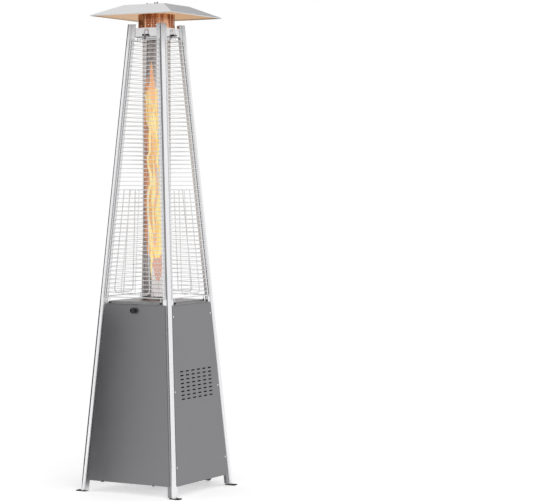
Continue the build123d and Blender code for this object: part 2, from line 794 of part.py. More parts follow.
def valve_screw_places():
    """Places of the two valve screws on the front of the control panel."""
    places = []
    for sign in (-1, 1):
        z = CONTROL_AXIS_Z + sign * VALVE_SCREW_RISE
        places.append(Pos(VALVE_X, CONTROL_Y, z) * Rot(QUARTER_TURN, 0, 0))
    return places


def make_valve():
    """Valve body with a mounting flange and the bore of its plunger."""
    flange_y = VALVE_FRONT_Y + VALVE_FLANGE_THICK / 2
    body_y = VALVE_FRONT_Y + VALVE_DEPTH / 2
    body = Pos(VALVE_X, body_y, CONTROL_AXIS_Z) * Box(VALVE_WIDTH, VALVE_DEPTH, VALVE_HEIGHT)
    flange = Box(VALVE_FLANGE_WIDTH, VALVE_FLANGE_THICK, VALVE_FLANGE_HEIGHT)
    body += Pos(VALVE_X, flange_y, CONTROL_AXIS_Z) * flange
    bore = shaft(VALVE_X, VALVE_FRONT_Y - CUT, VALVE_BORE_DEPTH + CUT, VALVE_BORE_R, CONTROL_AXIS_Z)
    return body - bore - [hole(place, SMALL_SCREW_R + FIT_GAP) for place in valve_screw_places()]


def plunger_front_y():
    """Front face of the plunger in the valve's bore."""
    return VALVE_FRONT_Y + PLUNGER_SETBACK


def make_plunger():
    """Sprung sleeve in the valve that the spindle pushes in."""
    outer = shaft(VALVE_X, plunger_front_y(), PLUNGER_LENGTH, VALVE_BORE_R - RUN_GAP, CONTROL_AXIS_Z)
    bore_y = plunger_front_y() - CUT
    return outer - shaft(VALVE_X, bore_y, PLUNGER_LENGTH + 2 * CUT, SPINDLE_R + RUN_GAP, CONTROL_AXIS_Z)


def knob_back_y():
    """Rear face of the valve's knob."""
    return CONTROL_Y - VALVE_TRAVEL - VALVE_KNOB_SPARE


def make_spindle():
    """Spindle with the collar that bears on the plunger."""
    front_y = knob_back_y() - VALVE_KNOB_BORE + FIT_GAP
    back_y = plunger_front_y() + PLUNGER_LENGTH + SPINDLE_TAIL
    spindle = shaft(VALVE_X, front_y, back_y - front_y, SPINDLE_R, CONTROL_AXIS_Z)
    collar_y = plunger_front_y() - BODY_GAP - COLLAR_LENGTH
    return spindle + shaft(VALVE_X, collar_y, COLLAR_LENGTH, COLLAR_R, CONTROL_AXIS_Z)


def make_valve_knob():
    """Fluted knob with a pointer rib and a blind bore for the spindle."""
    front_y = knob_back_y() - VALVE_KNOB_DEPTH
    knob = shaft(VALVE_X, front_y, VALVE_KNOB_DEPTH, VALVE_KNOB_R, CONTROL_AXIS_Z)
    flutes = []
    for i in range(VALVE_KNOB_FLUTES):
        angle = 2 * math.pi * (i + FLUTE_PLACE_SHARE) / VALVE_KNOB_FLUTES
        x = VALVE_X + VALVE_KNOB_R * math.cos(angle)
        z = CONTROL_AXIS_Z + VALVE_KNOB_R * math.sin(angle)
        flutes.append(shaft(x, front_y - CUT, VALVE_KNOB_DEPTH + 2 * CUT, VALVE_KNOB_FLUTE_R, z))
    bore_y = knob_back_y() - VALVE_KNOB_BORE
    bore = shaft(VALVE_X, bore_y, VALVE_KNOB_BORE + CUT, SPINDLE_R + RUN_GAP, CONTROL_AXIS_Z)
    rib_z = CONTROL_AXIS_Z + VALVE_KNOB_R / 2
    rib = Box(VALVE_POINTER_W, 2 * VALVE_POINTER_H, VALVE_KNOB_R - VALVE_POINTER_W)
    return knob - flutes - bore + Pos(VALVE_X, front_y, rib_z) * rib


def make_gas_inlet():
    """Threaded union under the valve for the gas hose."""
    y = VALVE_FRONT_Y + VALVE_DEPTH / 2
    top_z = CONTROL_AXIS_Z - VALVE_HEIGHT / 2
    hexagon = RegularPolygon(INLET_HEX_R, major_radius=True, side_count=HEX_SIDES)
    union = Pos(0, 0, top_z - INLET_HEX_H) * extrude(hexagon, INLET_HEX_H)
    low_z = top_z - INLET_HEX_H - INLET_LENGTH
    union += rod((0, 0, low_z), (0, 0, top_z - INLET_HEX_H), INLET_R)
    union -= rod((0, 0, low_z - CUT), (0, 0, top_z + CUT), INLET_BORE_R)
    return Pos(VALVE_X, y, 0) * union


def make_igniter():
    """Igniter housing behind the panel with a front flange, and its ring nut."""
    front_y = CONTROL_Y - IGNITER_FLANGE_H
    length = IGNITER_BODY_LENGTH + IGNITER_FLANGE_H
    body = shaft(IGNITER_X, front_y, length, IGNITER_BODY_R, CONTROL_AXIS_Z)
    body += shaft(IGNITER_X, front_y, IGNITER_FLANGE_H, IGNITER_FLANGE_R, CONTROL_AXIS_Z)
    bore_length = IGNITER_BORE_DEPTH + CUT
    body -= shaft(IGNITER_X, front_y - CUT, bore_length, BUTTON_R + RUN_GAP, CONTROL_AXIS_Z)
    nut = RegularPolygon(IGNITER_NUT_R, major_radius=True, side_count=HEX_SIDES) - Circle(IGNITER_BODY_R + FIT_GAP)
    place = Pos(IGNITER_X, CONTROL_Y + SHEET, CONTROL_AXIS_Z) * Rot(-QUARTER_TURN, 0, 0)
    return group([body, place * extrude(nut, IGNITER_NUT_H)])


def make_button():
    """Push button of the igniter with a rounded front edge."""
    front_y = CONTROL_Y - IGNITER_FLANGE_H - BUTTON_TRAVEL - BUTTON_SPARE
    button = shaft(IGNITER_X, front_y, BUTTON_LENGTH, BUTTON_R, CONTROL_AXIS_Z)
    return fillet(Part(button.wrapped).edges().group_by(Axis.Y)[0], BUTTON_EDGE_R)


def make_tilt_switch():
    """Switch box behind the control panel that shuts the gas off when the heater tips."""
    y = CONTROL_Y + SHEET + TILT_DEPTH / 2
    return Pos(TILT_X, y, CONTROL_AXIS_Z) * Box(TILT_SIZE, TILT_DEPTH, TILT_SIZE)


# Burner with its pipes and pilot group

def pipe(points, bend, outer, bore):
    """Rigid pipe along straight runs joined by bends."""
    path = FilletPolyline(*points, radius=bend)
    section = Plane(origin=path @ 0, z_dir=path % 0) * (Circle(outer) - Circle(bore))
    return sweep(section, path=path)


def jet_bottom_z():
    """Lower end of the gas jet, where the feed pipe ends."""
    return BOWL_BOTTOM_Z - MIXER_LENGTH - JET_LENGTH / 2


def make_feed_pipe():
    """Pipe from the back of the valve to the jet."""
    start_y = VALVE_FRONT_Y + VALVE_DEPTH
    points = [(VALVE_X, start_y, CONTROL_AXIS_Z), (VALVE_X, 0, CONTROL_AXIS_Z)]
    points += [(0, 0, CONTROL_AXIS_Z), (0, 0, jet_bottom_z())]
    return pipe(points, FEED_PIPE_BEND, FEED_PIPE_R, FEED_PIPE_BORE_R)


def make_jet():
    """Brass jet that blows gas into the mixer tube."""
    low = jet_bottom_z()
    body = rod((0, 0, low), (0, 0, low + JET_LENGTH), JET_R)
    return body - rod((0, 0, low - CUT), (0, 0, low + JET_LENGTH + CUT), JET_BORE_R)


def make_mixer():
    """Tube under the bowl with air windows and a floor that holds the jet."""
    low = BOWL_BOTTOM_Z - MIXER_LENGTH
    tube = ring(MIXER_R, MIXER_R - SHEET, low, BOWL_BOTTOM_Z)
    tube += ring(MIXER_R, JET_R + FIT_GAP, low, low + SHEET)
    tube += ring(MIXER_R + MIXER_WINDOW_H, MIXER_R - SHEET, BOWL_BOTTOM_Z - SHEET, BOWL_BOTTOM_Z)
    window = Box(2 * MIXER_R + CUT, MIXER_WINDOW_W, MIXER_WINDOW_H)
    window_z = low + MIXER_LENGTH / 2
    return tube - [Pos(0, 0, window_z) * Rot(0, 0, angle) * window for angle in (0, QUARTER_TURN)]


def pilot_cutters():
    """Holes for pilot tube, electrode and thermocouple, one behind the other."""
    radii = (PILOT_TUBE_R, CERAMIC_R, PROBE_R)
    cutters = []
    for i, radius in enumerate(radii):
        y = PILOT_PITCH * (i - 1)
        low = (PILOT_X, y, BOWL_BOTTOM_Z - CUT)
        cutters.append(rod(low, (PILOT_X, y, PLATFORM_Z + CUT), radius + FIT_GAP))
    return cutters


def make_bowl():
    """Burner bowl that hangs in the deck by its flange."""
    rim_z = PLATFORM_Z + BOWL_RIM_RISE
    bowl = ring(BOWL_R, BOWL_R - SHEET, BOWL_BOTTOM_Z, rim_z)
    bowl += ring(BOWL_R, MIXER_R - SHEET, BOWL_BOTTOM_Z, BOWL_BOTTOM_Z + SHEET)
    bowl += ring(BOWL_FLANGE_R, BOWL_R - SHEET, PLATFORM_Z, PLATFORM_Z + SHEET)
    ledge_z = BURNER_PLATE_Z - 2 * SHEET
    bowl += ring(BOWL_R, BOWL_R - 3 * SHEET, ledge_z, ledge_z + SHEET)
    cutters = pilot_cutters()
    for place in places_on_circle(len(SIDES), SEAT_SCREW_R):
        cutters.append(hole(Pos(0, 0, PLATFORM_Z) * place, SMALL_SCREW_R + FIT_GAP))
    return bowl - cutters


def make_burner_plate():
    """Perforated plate that the flame stands on."""
    low_z = BURNER_PLATE_Z - SHEET
    plate = rod((0, 0, low_z), (0, 0, BURNER_PLATE_Z), BOWL_R - SHEET - FIT_GAP)
    cutters = pilot_cutters()
    cutters.append(Pos(0, 0, BURNER_PLATE_Z) * Cylinder(BURNER_HOLE_R, CUT))
    for ring_index in range(1, BURNER_RINGS + 1):
        count = BURNER_HOLES_PER_STEP * ring_index
        for place in places_on_circle(count, BURNER_RING_STEP * ring_index, 0):
            cutters.append(Pos(0, 0, BURNER_PLATE_Z) * place * Cylinder(BURNER_HOLE_R, CUT))
    return plate - cutters


def pilot_tip_z():
    """Height of the tips of the pilot group above the burner plate."""
    return BURNER_PLATE_Z + PILOT_TIP_RISE


def make_pilot_tube():
    """Thin pipe from the top of the valve to the pilot flame."""
    start_y = VALVE_FRONT_Y + VALVE_DEPTH / 2
    start_z = CONTROL_AXIS_Z + VALVE_HEIGHT / 2
    level = start_z + PILOT_TUBE_RISE
    points = [(PILOT_X, start_y, start_z), (PILOT_X, start_y, level)]
    points += [(PILOT_X, -PILOT_PITCH, level), (PILOT_X, -PILOT_PITCH, pilot_tip_z())]
    return pipe(points, PILOT_TUBE_BEND, PILOT_TUBE_R, PILOT_TUBE_BORE_R)


def make_thermocouple():
    """Flame sensor beside the pilot tube."""
    top = (PILOT_X, PILOT_PITCH, pilot_tip_z())
    return rod((PILOT_X, PILOT_PITCH, pilot_tip_z() - PROBE_LENGTH), top, PROBE_R)


def make_electrode():
    """Spark electrode in its ceramic sleeve."""
    top_z = pilot_tip_z()
    wire = rod((PILOT_X, 0, top_z - PROBE_LENGTH), (PILOT_X, 0, top_z), ELECTRODE_R)
    ceramic_top = top_z - CERAMIC_DROP
    low = (PILOT_X, 0, ceramic_top - CERAMIC_LENGTH)
    return wire.fuse(rod(low, (PILOT_X, 0, ceramic_top), CERAMIC_R))


def make_pilot_bracket():
    """Strip under the bowl that holds the pilot group."""
    length = 2 * (PILOT_PITCH + PILOT_BRACKET_END)
    strip = Pos(PILOT_X, 0, BOWL_BOTTOM_Z - SHEET / 2) * Box(PILOT_BRACKET_W, length, SHEET)
    return strip - pilot_cutters()


# Glass tube with its seat, sleeve and gaskets

def make_tube_seat():
    """Ring on the burner flange that centres the foot of the tube."""
    low = PLATFORM_Z + SHEET
    inner = TUBE_R + FIT_GAP
    seat = ring(BOWL_FLANGE_R, SEAT_HOLE_R, low, low + SHEET)
    seat += ring(inner + SHEET, inner, low, low + SHEET + SEAT_LIP_H)
    cutters = []
    for place in places_on_circle(len(SIDES), SEAT_SCREW_R):
        cutters.append(hole(Pos(0, 0, low) * place, SMALL_SCREW_R + FIT_GAP))
    return seat - cutters


def make_lower_gasket():
    """Flat gasket under the tube."""
    return ring(TUBE_R, TUBE_BORE_R, TUBE_BOTTOM_Z - GASKET_THICK, TUBE_BOTTOM_Z)


def make_glass_tube():
    """Clear tube that the flame rises in."""
    return ring(TUBE_R, TUBE_BORE_R, TUBE_BOTTOM_Z, TUBE_BOTTOM_Z + TUBE_LENGTH)


def make_sleeve():
    """Sleeve under the collar that the top of the tube stands in."""
    top = COLLAR_TOP_Z - SHEET
    inner = TUBE_R + SLEEVE_GAP
    sleeve = ring(inner + SHEET, inner, top - SLEEVE_LENGTH, top)
    sleeve += ring(SLEEVE_FLANGE_R, TUBE_BORE_R, top - SHEET, top)
    cutters = []
    for place in places_on_circle(len(SIDES), SCREEN_SCREW_R):
        cutters.append(hole(Pos(0, 0, top) * place, SMALL_SCREW_R + FIT_GAP))
    return sleeve - cutters


def make_upper_gasket():
    """Gasket between tube and sleeve."""
    low = COLLAR_TOP_Z - SHEET - UPPER_GASKET_DROP
    outer = TUBE_R + SLEEVE_GAP - FIT_GAP
    return ring(outer, TUBE_R + FIT_GAP, low, low + UPPER_GASKET_H)


def make_small_screws():
    """Pan-head screws of seat, screen, valve, control panel and clips."""
    screws = []

    def add(place, length):
        screws.append(screw(place, length, SMALL_SCREW_R, SMALL_HEAD_R, SMALL_HEAD_H))

    for place in places_on_circle(len(SIDES), SEAT_SCREW_R):
        add(Pos(0, 0, PLATFORM_Z + 2 * SHEET) * place, 3 * SHEET + SCREW_TAIL)
    for place in places_on_circle(len(SIDES), SCREEN_SCREW_R):
        add(Pos(0, 0, COLLAR_TOP_Z + SCREEN_WALL) * place, SCREEN_WALL + 2 * SHEET + SCREW_TAIL)
    for place in valve_screw_places():
        add(place, SHEET + VALVE_FLANGE_THICK)
    for place in control_screw_places():
        add(place, 2 * SHEET - FIT_GAP)
    for side in SIDES:
        clip_depth = GUARD_OUT + CLIP_FRONT - INNER_OUT
        place = wall_place(0, clip_middle_z(), GUARD_OUT + CLIP_FRONT)
        screws.append(turned(screw(place, clip_depth + SHEET + SCREW_TAIL, SMALL_SCREW_R, SMALL_HEAD_R,
                                   SMALL_HEAD_H), side))
    return group(screws)


# Wire guards with their feet and clips

def guard_wires():
    """Level wires in front of the rails, each a little longer than the rails are apart."""
    spaces = round((GUARD_TOP_Z - GUARD_BOTTOM_Z) / GUARD_WIRE_PITCH_Z)
    step = (GUARD_TOP_Z - GUARD_BOTTOM_Z) / spaces
    front = GUARD_RAIL_R + GUARD_WIRE_R - WELD_SINK
    wires = []
    for i in range(1, spaces):
        z = GUARD_BOTTOM_Z + step * i
        reach = half(z) - GUARD_RAIL_INSET + WIRE_OVERHANG
        wires.append(rod((-reach, up(z), front), (reach, up(z), front), GUARD_WIRE_R))
    return wires


def guard_frame():
    """Two rails and the thinner bars that join them just inside their ends."""
    bars = []
    for z in (GUARD_BOTTOM_Z, GUARD_TOP_Z):
        reach = half(z) - GUARD_RAIL_INSET
        bars.append(rod((-reach, up(z), 0), (reach, up(z), 0), GUARD_BAR_R))
    low_z = GUARD_BOTTOM_Z - RAIL_OVERRUN
    high_z = GUARD_TOP_Z + RAIL_OVERRUN
    low = half(low_z) - GUARD_RAIL_INSET
    high = half(high_z) - GUARD_RAIL_INSET
    for sign in (-1, 1):
        bars.append(rod((sign * low, up(low_z), 0), (sign * high, up(high_z), 0), GUARD_RAIL_R))
    return bars


def guard_subframe():
    """Inner frame of the lower part: a rounded trapezoid with a middle bar, behind the wires."""
    back = GUARD_RAIL_R - SUBFRAME_R
    low, high = up(SUBFRAME_BOTTOM_Z), up(SUBFRAME_TOP_Z)
    points = [(-SUBFRAME_BOTTOM_HALF, low), (SUBFRAME_BOTTOM_HALF, low)]
    points += [(SUBFRAME_TOP_HALF, high), (-SUBFRAME_TOP_HALF, high)]
    bends = [SUBFRAME_CORNER_R, SUBFRAME_CORNER_R, SUBFRAME_SHOULDER_R, SUBFRAME_SHOULDER_R]
    path = FilletPolyline(*points, radius=bends, close=True)
    section = Plane(origin=path @ 0, z_dir=path % 0) * Circle(SUBFRAME_R)
    outline = Pos(0, 0, back) * sweep(section, path=path).solid()
    return [outline, rod((0, low, back), (0, high, back), SUBFRAME_MIDDLE_R)]


def guard_loop():
    """Hook loop above the top bar."""
    bend = up(LOOP_TOP_Z) - LOOP_HALF - LOOP_R
    bars = []
    for sign in (-1, 1):
        x = sign * LOOP_HALF
        bars.append(rod((x, up(GUARD_TOP_Z), 0), (x, bend, 0), LOOP_R))
    arch = Solid.make_torus(LOOP_HALF, LOOP_R, Plane((0, bend, 0)), major_angle=HALF_TURN)
    return bars + [arch]


def guard_pegs():
    """Pegs behind the bottom bar that stand in the guard's feet."""
    back = -depth(FOOT_PEG_SETBACK)
    low = up(DECK_Z + GUARD_FOOT_FLOOR + 2 * BODY_GAP)
    pegs = []
    for sign in (-1, 1):
        x = sign * (half(GUARD_BOTTOM_Z) - FOOT_PEG_INSET)
        pegs.append(rod((x, low, back), (x, up(GUARD_BOTTOM_Z), back), LOOP_R))
    return pegs


def make_guard():
    """Front wire guard, welded into one piece."""
    pieces = guard_frame() + guard_wires() + guard_subframe() + guard_loop() + guard_pegs()
    return wall(GUARD_OUT) * fused(pieces)


def make_guard_feet():
    """Caps on the guards' pegs that stand on the deck's rim."""
    feet = []
    peg_out = GUARD_OUT - FOOT_PEG_SETBACK
    middle_z = DECK_Z + GUARD_FOOT_H / 2
    for side in SIDES:
        for sign in (-1, 1):
            x = sign * (half(GUARD_BOTTOM_Z) - FOOT_PEG_INSET)
            place = Pos(x, -(half(middle_z) + peg_out), DECK_Z)
            foot = Pos(0, 0, GUARD_FOOT_H / 2) * Cylinder(GUARD_FOOT_R, GUARD_FOOT_H)
            bore = Pos(0, 0, GUARD_FOOT_H) * Cylinder(LOOP_R + GUARD_FOOT_PLAY, 2 * (GUARD_FOOT_H - GUARD_FOOT_FLOOR))
            feet.append(turned(place * (foot - bore), side))
    return group(feet)


def clip_middle_z():
    """Height of the middle of the clips on the collar."""
    return CLIP_Z + CLIP_HEIGHT / 2


def make_guard_clips():
    """Clips on the collar that hold the guards' loops."""
    clips = []
    for side in SIDES:
        low = (-CLIP_WIDTH / 2, CLIP_Z)
        high = (CLIP_WIDTH / 2, CLIP_Z + CLIP_HEIGHT)
        clip = wall_box(low, high, INNER_OUT, GUARD_OUT + CLIP_FRONT - INNER_OUT)
        for sign in (-1, 1):
            x = sign * LOOP_HALF
            bore = rod((x, up(CLIP_Z) - CUT, 0), (x, up(CLIP_Z + CLIP_HEIGHT) + CUT, 0), LOOP_R + FIT_GAP)
            clip -= wall(GUARD_OUT) * bore
        reach = GUARD_OUT + CLIP_FRONT + CUT
        clip -= hole(wall_place(0, clip_middle_z(), FLANGE_OUT), SMALL_SCREW_R + FIT_GAP, reach)
        clips.append(turned(clip, side))
    return group(clips)


# Flame screen, studs and reflector

def make_screen():
    """Perforated screen that stands on the collar by an inner flange."""
    screen = ring(SCREEN_R, SCREEN_R - SCREEN_WALL, COLLAR_TOP_Z, SCREEN_TOP_Z)
    screen += ring(SCREEN_R, SCREEN_FLANGE_R, COLLAR_TOP_Z, COLLAR_TOP_Z + SCREEN_WALL)
    cutters = []
    step = 2 * HALF_TURN / SCREEN_HOLE_COUNT
    for row in range(SCREEN_HOLE_ROWS):
        z = COLLAR_TOP_Z + SCREEN_HEIGHT / 2 + SCREEN_ROW_PITCH * (row - (SCREEN_HOLE_ROWS - 1) / 2)
        for i in range(SCREEN_HOLE_COUNT // 2):
            angle = step * (i + row % 2 / 2)
            turn = Rot(0, 0, angle) * Rot(0, QUARTER_TURN, 0)
            cutters.append(Pos(0, 0, z) * turn * Cylinder(SCREEN_HOLE_R, 2 * (SCREEN_R + CUT)))
    for place in places_on_circle(len(SIDES), SCREEN_SCREW_R):
        cutters.append(hole(Pos(0, 0, COLLAR_TOP_Z) * place, SMALL_SCREW_R + FIT_GAP))
    return screen - cutters


def stud_places():
    """Places of the reflector studs in the plane of the floor."""
    return places_on_circle(STUD_COUNT, STUD_CIRCLE_R, STUD_FIRST_ANGLE)


def stud_bar(place, low_z, high_z, radius):
    """Upright bar at a stud's place."""
    return place * rod((0, 0, low_z), (0, 0, high_z), radius)


def make_cap():
    """Disc on top of the flame screen."""
    cap = rod((0, 0, SCREEN_TOP_Z), (0, 0, SCREEN_TOP_Z + CAP_THICK), SCREEN_R)
    low, high = SCREEN_TOP_Z - CUT, SCREEN_TOP_Z + CUT
    return cap - [stud_bar(place, low, high, STUD_R + FIT_GAP) for place in stud_places()]


def make_studs():
    """Studs with a head under the cap, up through spacers and reflector."""
    studs = []
    for place in stud_places():
        stud = stud_bar(place, SCREEN_TOP_Z - STUD_HEAD_H, SCREEN_TOP_Z, STUD_HEAD_R)
        studs.append(stud.fuse(stud_bar(place, SCREEN_TOP_Z - STUD_HEAD_H, REFLECTOR_TOP_Z + STUD_TAIL, STUD_R)))
    return group(studs)


def make_spacers():
    """Tubes between cap and reflector."""
    low, high = SCREEN_TOP_Z + CAP_THICK, REFLECTOR_TOP_Z - SHEET
    return group([place * ring(SPACER_R, STUD_R + FIT_GAP, low, high) for place in stud_places()])


def reflector_block(edge, flat, rim_z, hem_z, top_z):
    """Square hem with a truncated pyramid on it."""
    hem = Pos(0, 0, (rim_z + hem_z) / 2) * Box(2 * edge, 2 * edge, hem_z - rim_z)
    low = Pos(0, 0, hem_z) * Rectangle(2 * edge, 2 * edge)
    high = Pos(0, 0, top_z) * Rectangle(2 * flat, 2 * flat)
    return hem + loft([low.face(), high.face()], ruled=True)


def make_reflector():
    """Square sheet cap with a flat top and a short hem."""
    hem_z = REFLECTOR_RIM_Z + REFLECTOR_HEM
    outer = reflector_block(REFLECTOR_HALF, REFLECTOR_FLAT_HALF, REFLECTOR_RIM_Z, hem_z, REFLECTOR_TOP_Z)
    edge = REFLECTOR_HALF - SHEET
    top = REFLECTOR_TOP_Z - SHEET
    inner = reflector_block(edge, REFLECTOR_FLAT_HALF, REFLECTOR_RIM_Z - CUT, hem_z - SHEET / 2, top)
    low, high = REFLECTOR_TOP_Z - CUT, REFLECTOR_TOP_Z + CUT
    return outer - inner - [stud_bar(place, low, high, STUD_R + FIT_GAP) for place in stud_places()]


def make_wing_nuts():
    """Wing nuts on top of the reflector."""
    nuts = []
    for place, turn in zip(stud_places(), WING_TURNS):
        nut = rod((0, 0, 0), (0, 0, WING_HUB_H), WING_HUB_R)
        ears = []
        for sign in (-1, 1):
            ear = extrude(Rot(0, 0, sign * WING_SLOPE) * SlotOverall(WING_LENGTH, WING_WIDTH), WING_THICK / 2,
                          both=True)
            ears.append((Pos(sign * WING_X, 0, WING_RISE) * Rot(QUARTER_TURN, 0, 0) * ear).solid())
        nut = nut.fuse(*ears) - rod((0, 0, -CUT), (0, 0, 2 * WING_LENGTH), STUD_R + FIT_GAP)
        spot = place.position
        nuts.append(Pos(spot.X, spot.Y, REFLECTOR_TOP_Z) * Rot(0, 0, turn) * nut)
    return group(nuts)


# Wheels with brackets and axles

def cross_bar(x, length, radius):
    """Bar along X on the wheels' axis, centred at x."""
    return rod((x - length / 2, WHEEL_Y, WHEEL_Z), (x + length / 2, WHEEL_Y, WHEEL_Z), radius)


def make_wheel(sign):
    """Plastic wheel with a recess round its hub on both faces."""
    x = sign * WHEEL_X
    tread = Part(cross_bar(x, WHEEL_WIDTH, WHEEL_R).wrapped)
    tread = fillet(tread.edges().filter_by(GeomType.CIRCLE), WHEEL_EDGE_R)
    for face in (-1, 1):
        recess_x = x + face * WHEEL_WIDTH / 2
        recess = cross_bar(recess_x, 2 * WHEEL_RECESS, WHEEL_RECESS_R)
        tread -= recess - cross_bar(recess_x, 4 * WHEEL_RECESS, WHEEL_HUB_R)
    tread += cross_bar(x, WHEEL_WIDTH + 2 * WHEEL_HUB_PROUD, WHEEL_HUB_R)
    return tread - cross_bar(x, WHEEL_WIDTH + 2 * CUT, AXLE_R + RUN_GAP)


def arm_offset():
    """Distance of a bracket arm's middle from the middle of its wheel."""
    return WHEEL_WIDTH / 2 + WHEEL_HUB_PROUD + BODY_GAP + BRACKET_THICK / 2


def make_wheel_brackets():
    """Forks under the tray that carry the wheels behind the rear panel."""
    top_z = TRAY_Z - SHEET
    height = top_z - BRACKET_BOTTOM_Z
    length = BRACKET_BACK_Y - BRACKET_FRONT_Y
    middle = Pos((BRACKET_FRONT_Y + BRACKET_BACK_Y) / 2, BRACKET_BOTTOM_Z + height / 2)
    block = middle * Rectangle(length, height)
    eye = Pos(WHEEL_Y, WHEEL_Z) * Circle(BRACKET_EYE_R)
    profile = make_hull(block.edges() + eye.edges())
    arm = Plane.YZ * extrude(profile, BRACKET_THICK / 2, both=True)
    brackets = []
    for sign in (-1, 1):
        x = sign * WHEEL_X
        width = 2 * arm_offset() + BRACKET_THICK
        bridge_y = BRACKET_FRONT_Y + BRACKET_BRIDGE / 2
        bracket = Pos(x, bridge_y, top_z - BRACKET_THICK / 2) * Box(width, BRACKET_BRIDGE, BRACKET_THICK)
        for end in (-1, 1):
            bracket += Pos(x + end * arm_offset(), 0, 0) * arm
        brackets.append(bracket - cross_bar(x, width + CUT, AXLE_R + FIT_GAP))
    return group(brackets)


def make_axles():
    """Axles with a head and a nut outside the bracket arms."""
    axles = []
    for sign in (-1, 1):
        x = sign * WHEEL_X
        inner = arm_offset() + BRACKET_THICK / 2
        axle = cross_bar(x, 2 * (inner + AXLE_HEAD_H), AXLE_R)
        for end in (-1, 1):
            axle += cross_bar(x + end * (inner + AXLE_HEAD_H / 2), AXLE_HEAD_H, AXLE_HEAD_R)
        axles.append(axle)
    return group(axles)


def build_nodes():
    """Every sub-part under its name."""
    guard = make_guard()
    nodes = {}
    for name, side in zip(("front_right", "rear_right", "rear_left", "front_left"), SIDES):
        nodes["leg_" + name] = make_leg(side)
    nodes["foot_plates"] = make_foot_plates()
    nodes["base_tray"] = make_tray()
    nodes["cylinder_ring"] = make_cylinder_ring()
    nodes["right_panel"] = make_panel(RIGHT, True)
    nodes["rear_panel"] = make_panel(REAR, False)
    nodes["left_panel"] = make_panel(LEFT, True)
    nodes["panel_screws"] = make_panel_screws()
    nodes["frame_screws"] = make_frame_screws()
    nodes["small_screws"] = make_small_screws()
    nodes["door"] = make_door()
    nodes["door_knob"] = make_door_knob()
    nodes["door_knob_screw"] = make_knob_screw()
    nodes["door_hinges"] = make_hinges()
    nodes["door_hinge_pins"] = make_hinge_pins()
    nodes["door_magnet"] = make_magnet()
    nodes["deck"] = make_deck()
    nodes["control_panel"] = make_control_panel()
    nodes["gas_valve"] = make_valve()
    nodes["valve_plunger"] = make_plunger()
    nodes["valve_spindle"] = make_spindle()
    nodes["valve_knob"] = make_valve_knob()
    nodes["gas_inlet"] = make_gas_inlet()
    nodes["igniter"] = make_igniter()
    nodes["igniter_button"] = make_button()
    nodes["tilt_switch"] = make_tilt_switch()
    nodes["feed_pipe"] = make_feed_pipe()
    nodes["gas_jet"] = make_jet()
    nodes["mixer_tube"] = make_mixer()
    nodes["burner_bowl"] = make_bowl()
    nodes["burner_plate"] = make_burner_plate()
    nodes["pilot_tube"] = make_pilot_tube()
    nodes["thermocouple"] = make_thermocouple()
    nodes["spark_electrode"] = make_electrode()
    nodes["pilot_bracket"] = make_pilot_bracket()
    nodes["tube_seat"] = make_tube_seat()
    nodes["lower_gasket"] = make_lower_gasket()
    nodes["glass_tube"] = make_glass_tube()
    nodes["tube_sleeve"] = make_sleeve()
    nodes["upper_gasket"] = make_upper_gasket()
    for name, side in zip(("front", "right", "rear", "left"), SIDES):
        nodes[name + "_guard"] = turned(guard, side)
    nodes["guard_feet"] = make_guard_feet()
    nodes["guard_clips"] = make_guard_clips()
    nodes["collar"] = make_collar()
    nodes["flame_screen"] = make_screen()
    nodes["screen_cap"] = make_cap()
    nodes["reflector_studs"] = make_studs()
    nodes["reflector_spacers"] = make_spacers()
    nodes["reflector"] = make_reflector()
    nodes["wing_nuts"] = make_wing_nuts()
    nodes["left_wheel"] = make_wheel(-1)
    nodes["right_wheel"] = make_wheel(1)
    nodes["wheel_brackets"] = make_wheel_brackets()
    nodes["wheel_axles"] = make_axles()
    return nodes


os.makedirs("parts", exist_ok=True)
for node_name, shape in build_nodes().items():
    export_step(shape, os.path.join("parts", node_name + ".step"))
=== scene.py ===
import json
import math

import bpy
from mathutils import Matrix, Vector, noise


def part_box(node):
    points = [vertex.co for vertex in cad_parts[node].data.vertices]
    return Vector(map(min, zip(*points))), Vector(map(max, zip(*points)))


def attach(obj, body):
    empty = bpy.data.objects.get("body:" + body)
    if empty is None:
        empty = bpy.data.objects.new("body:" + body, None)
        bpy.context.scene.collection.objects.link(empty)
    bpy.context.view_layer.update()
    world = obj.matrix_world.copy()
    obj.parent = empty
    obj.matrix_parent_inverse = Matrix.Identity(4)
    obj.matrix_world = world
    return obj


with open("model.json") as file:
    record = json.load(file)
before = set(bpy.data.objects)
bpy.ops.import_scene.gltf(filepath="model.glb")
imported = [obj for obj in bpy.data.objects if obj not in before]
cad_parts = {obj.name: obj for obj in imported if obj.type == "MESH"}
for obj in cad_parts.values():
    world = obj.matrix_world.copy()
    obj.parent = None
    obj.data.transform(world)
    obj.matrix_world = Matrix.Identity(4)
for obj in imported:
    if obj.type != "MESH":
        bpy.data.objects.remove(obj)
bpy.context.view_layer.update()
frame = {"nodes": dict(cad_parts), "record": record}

# Pyramid patio heater in a white studio. Metres, +Z up, front towards -Y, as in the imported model.
# Colours are linear RGB. A grain or scale is in noise cells per metre, along X, Y and Z or alike
# along all three. A range gives the start and the end of what goes into a span, and the pair that
# goes with it gives what comes out at each. Shares in such a pair say how much of a layer shows.

FULL = (0.0, 1.0)
WHITE = (1.0, 1.0, 1.0)

# Camera, from a fit to the photo's outlines, with its lens and sensor in millimetres
CAMERA_AZIMUTH = math.radians(32.742)
CAMERA_DISTANCE = 9.3006
CAMERA_HEIGHT = 1.4415
CAMERA_YAW = math.radians(3.161)
CAMERA_PITCH = math.radians(-2.036)
CAMERA_LENS = 134.06
CAMERA_CLIP_END = 200.0
SENSOR_WIDTH = 36.0

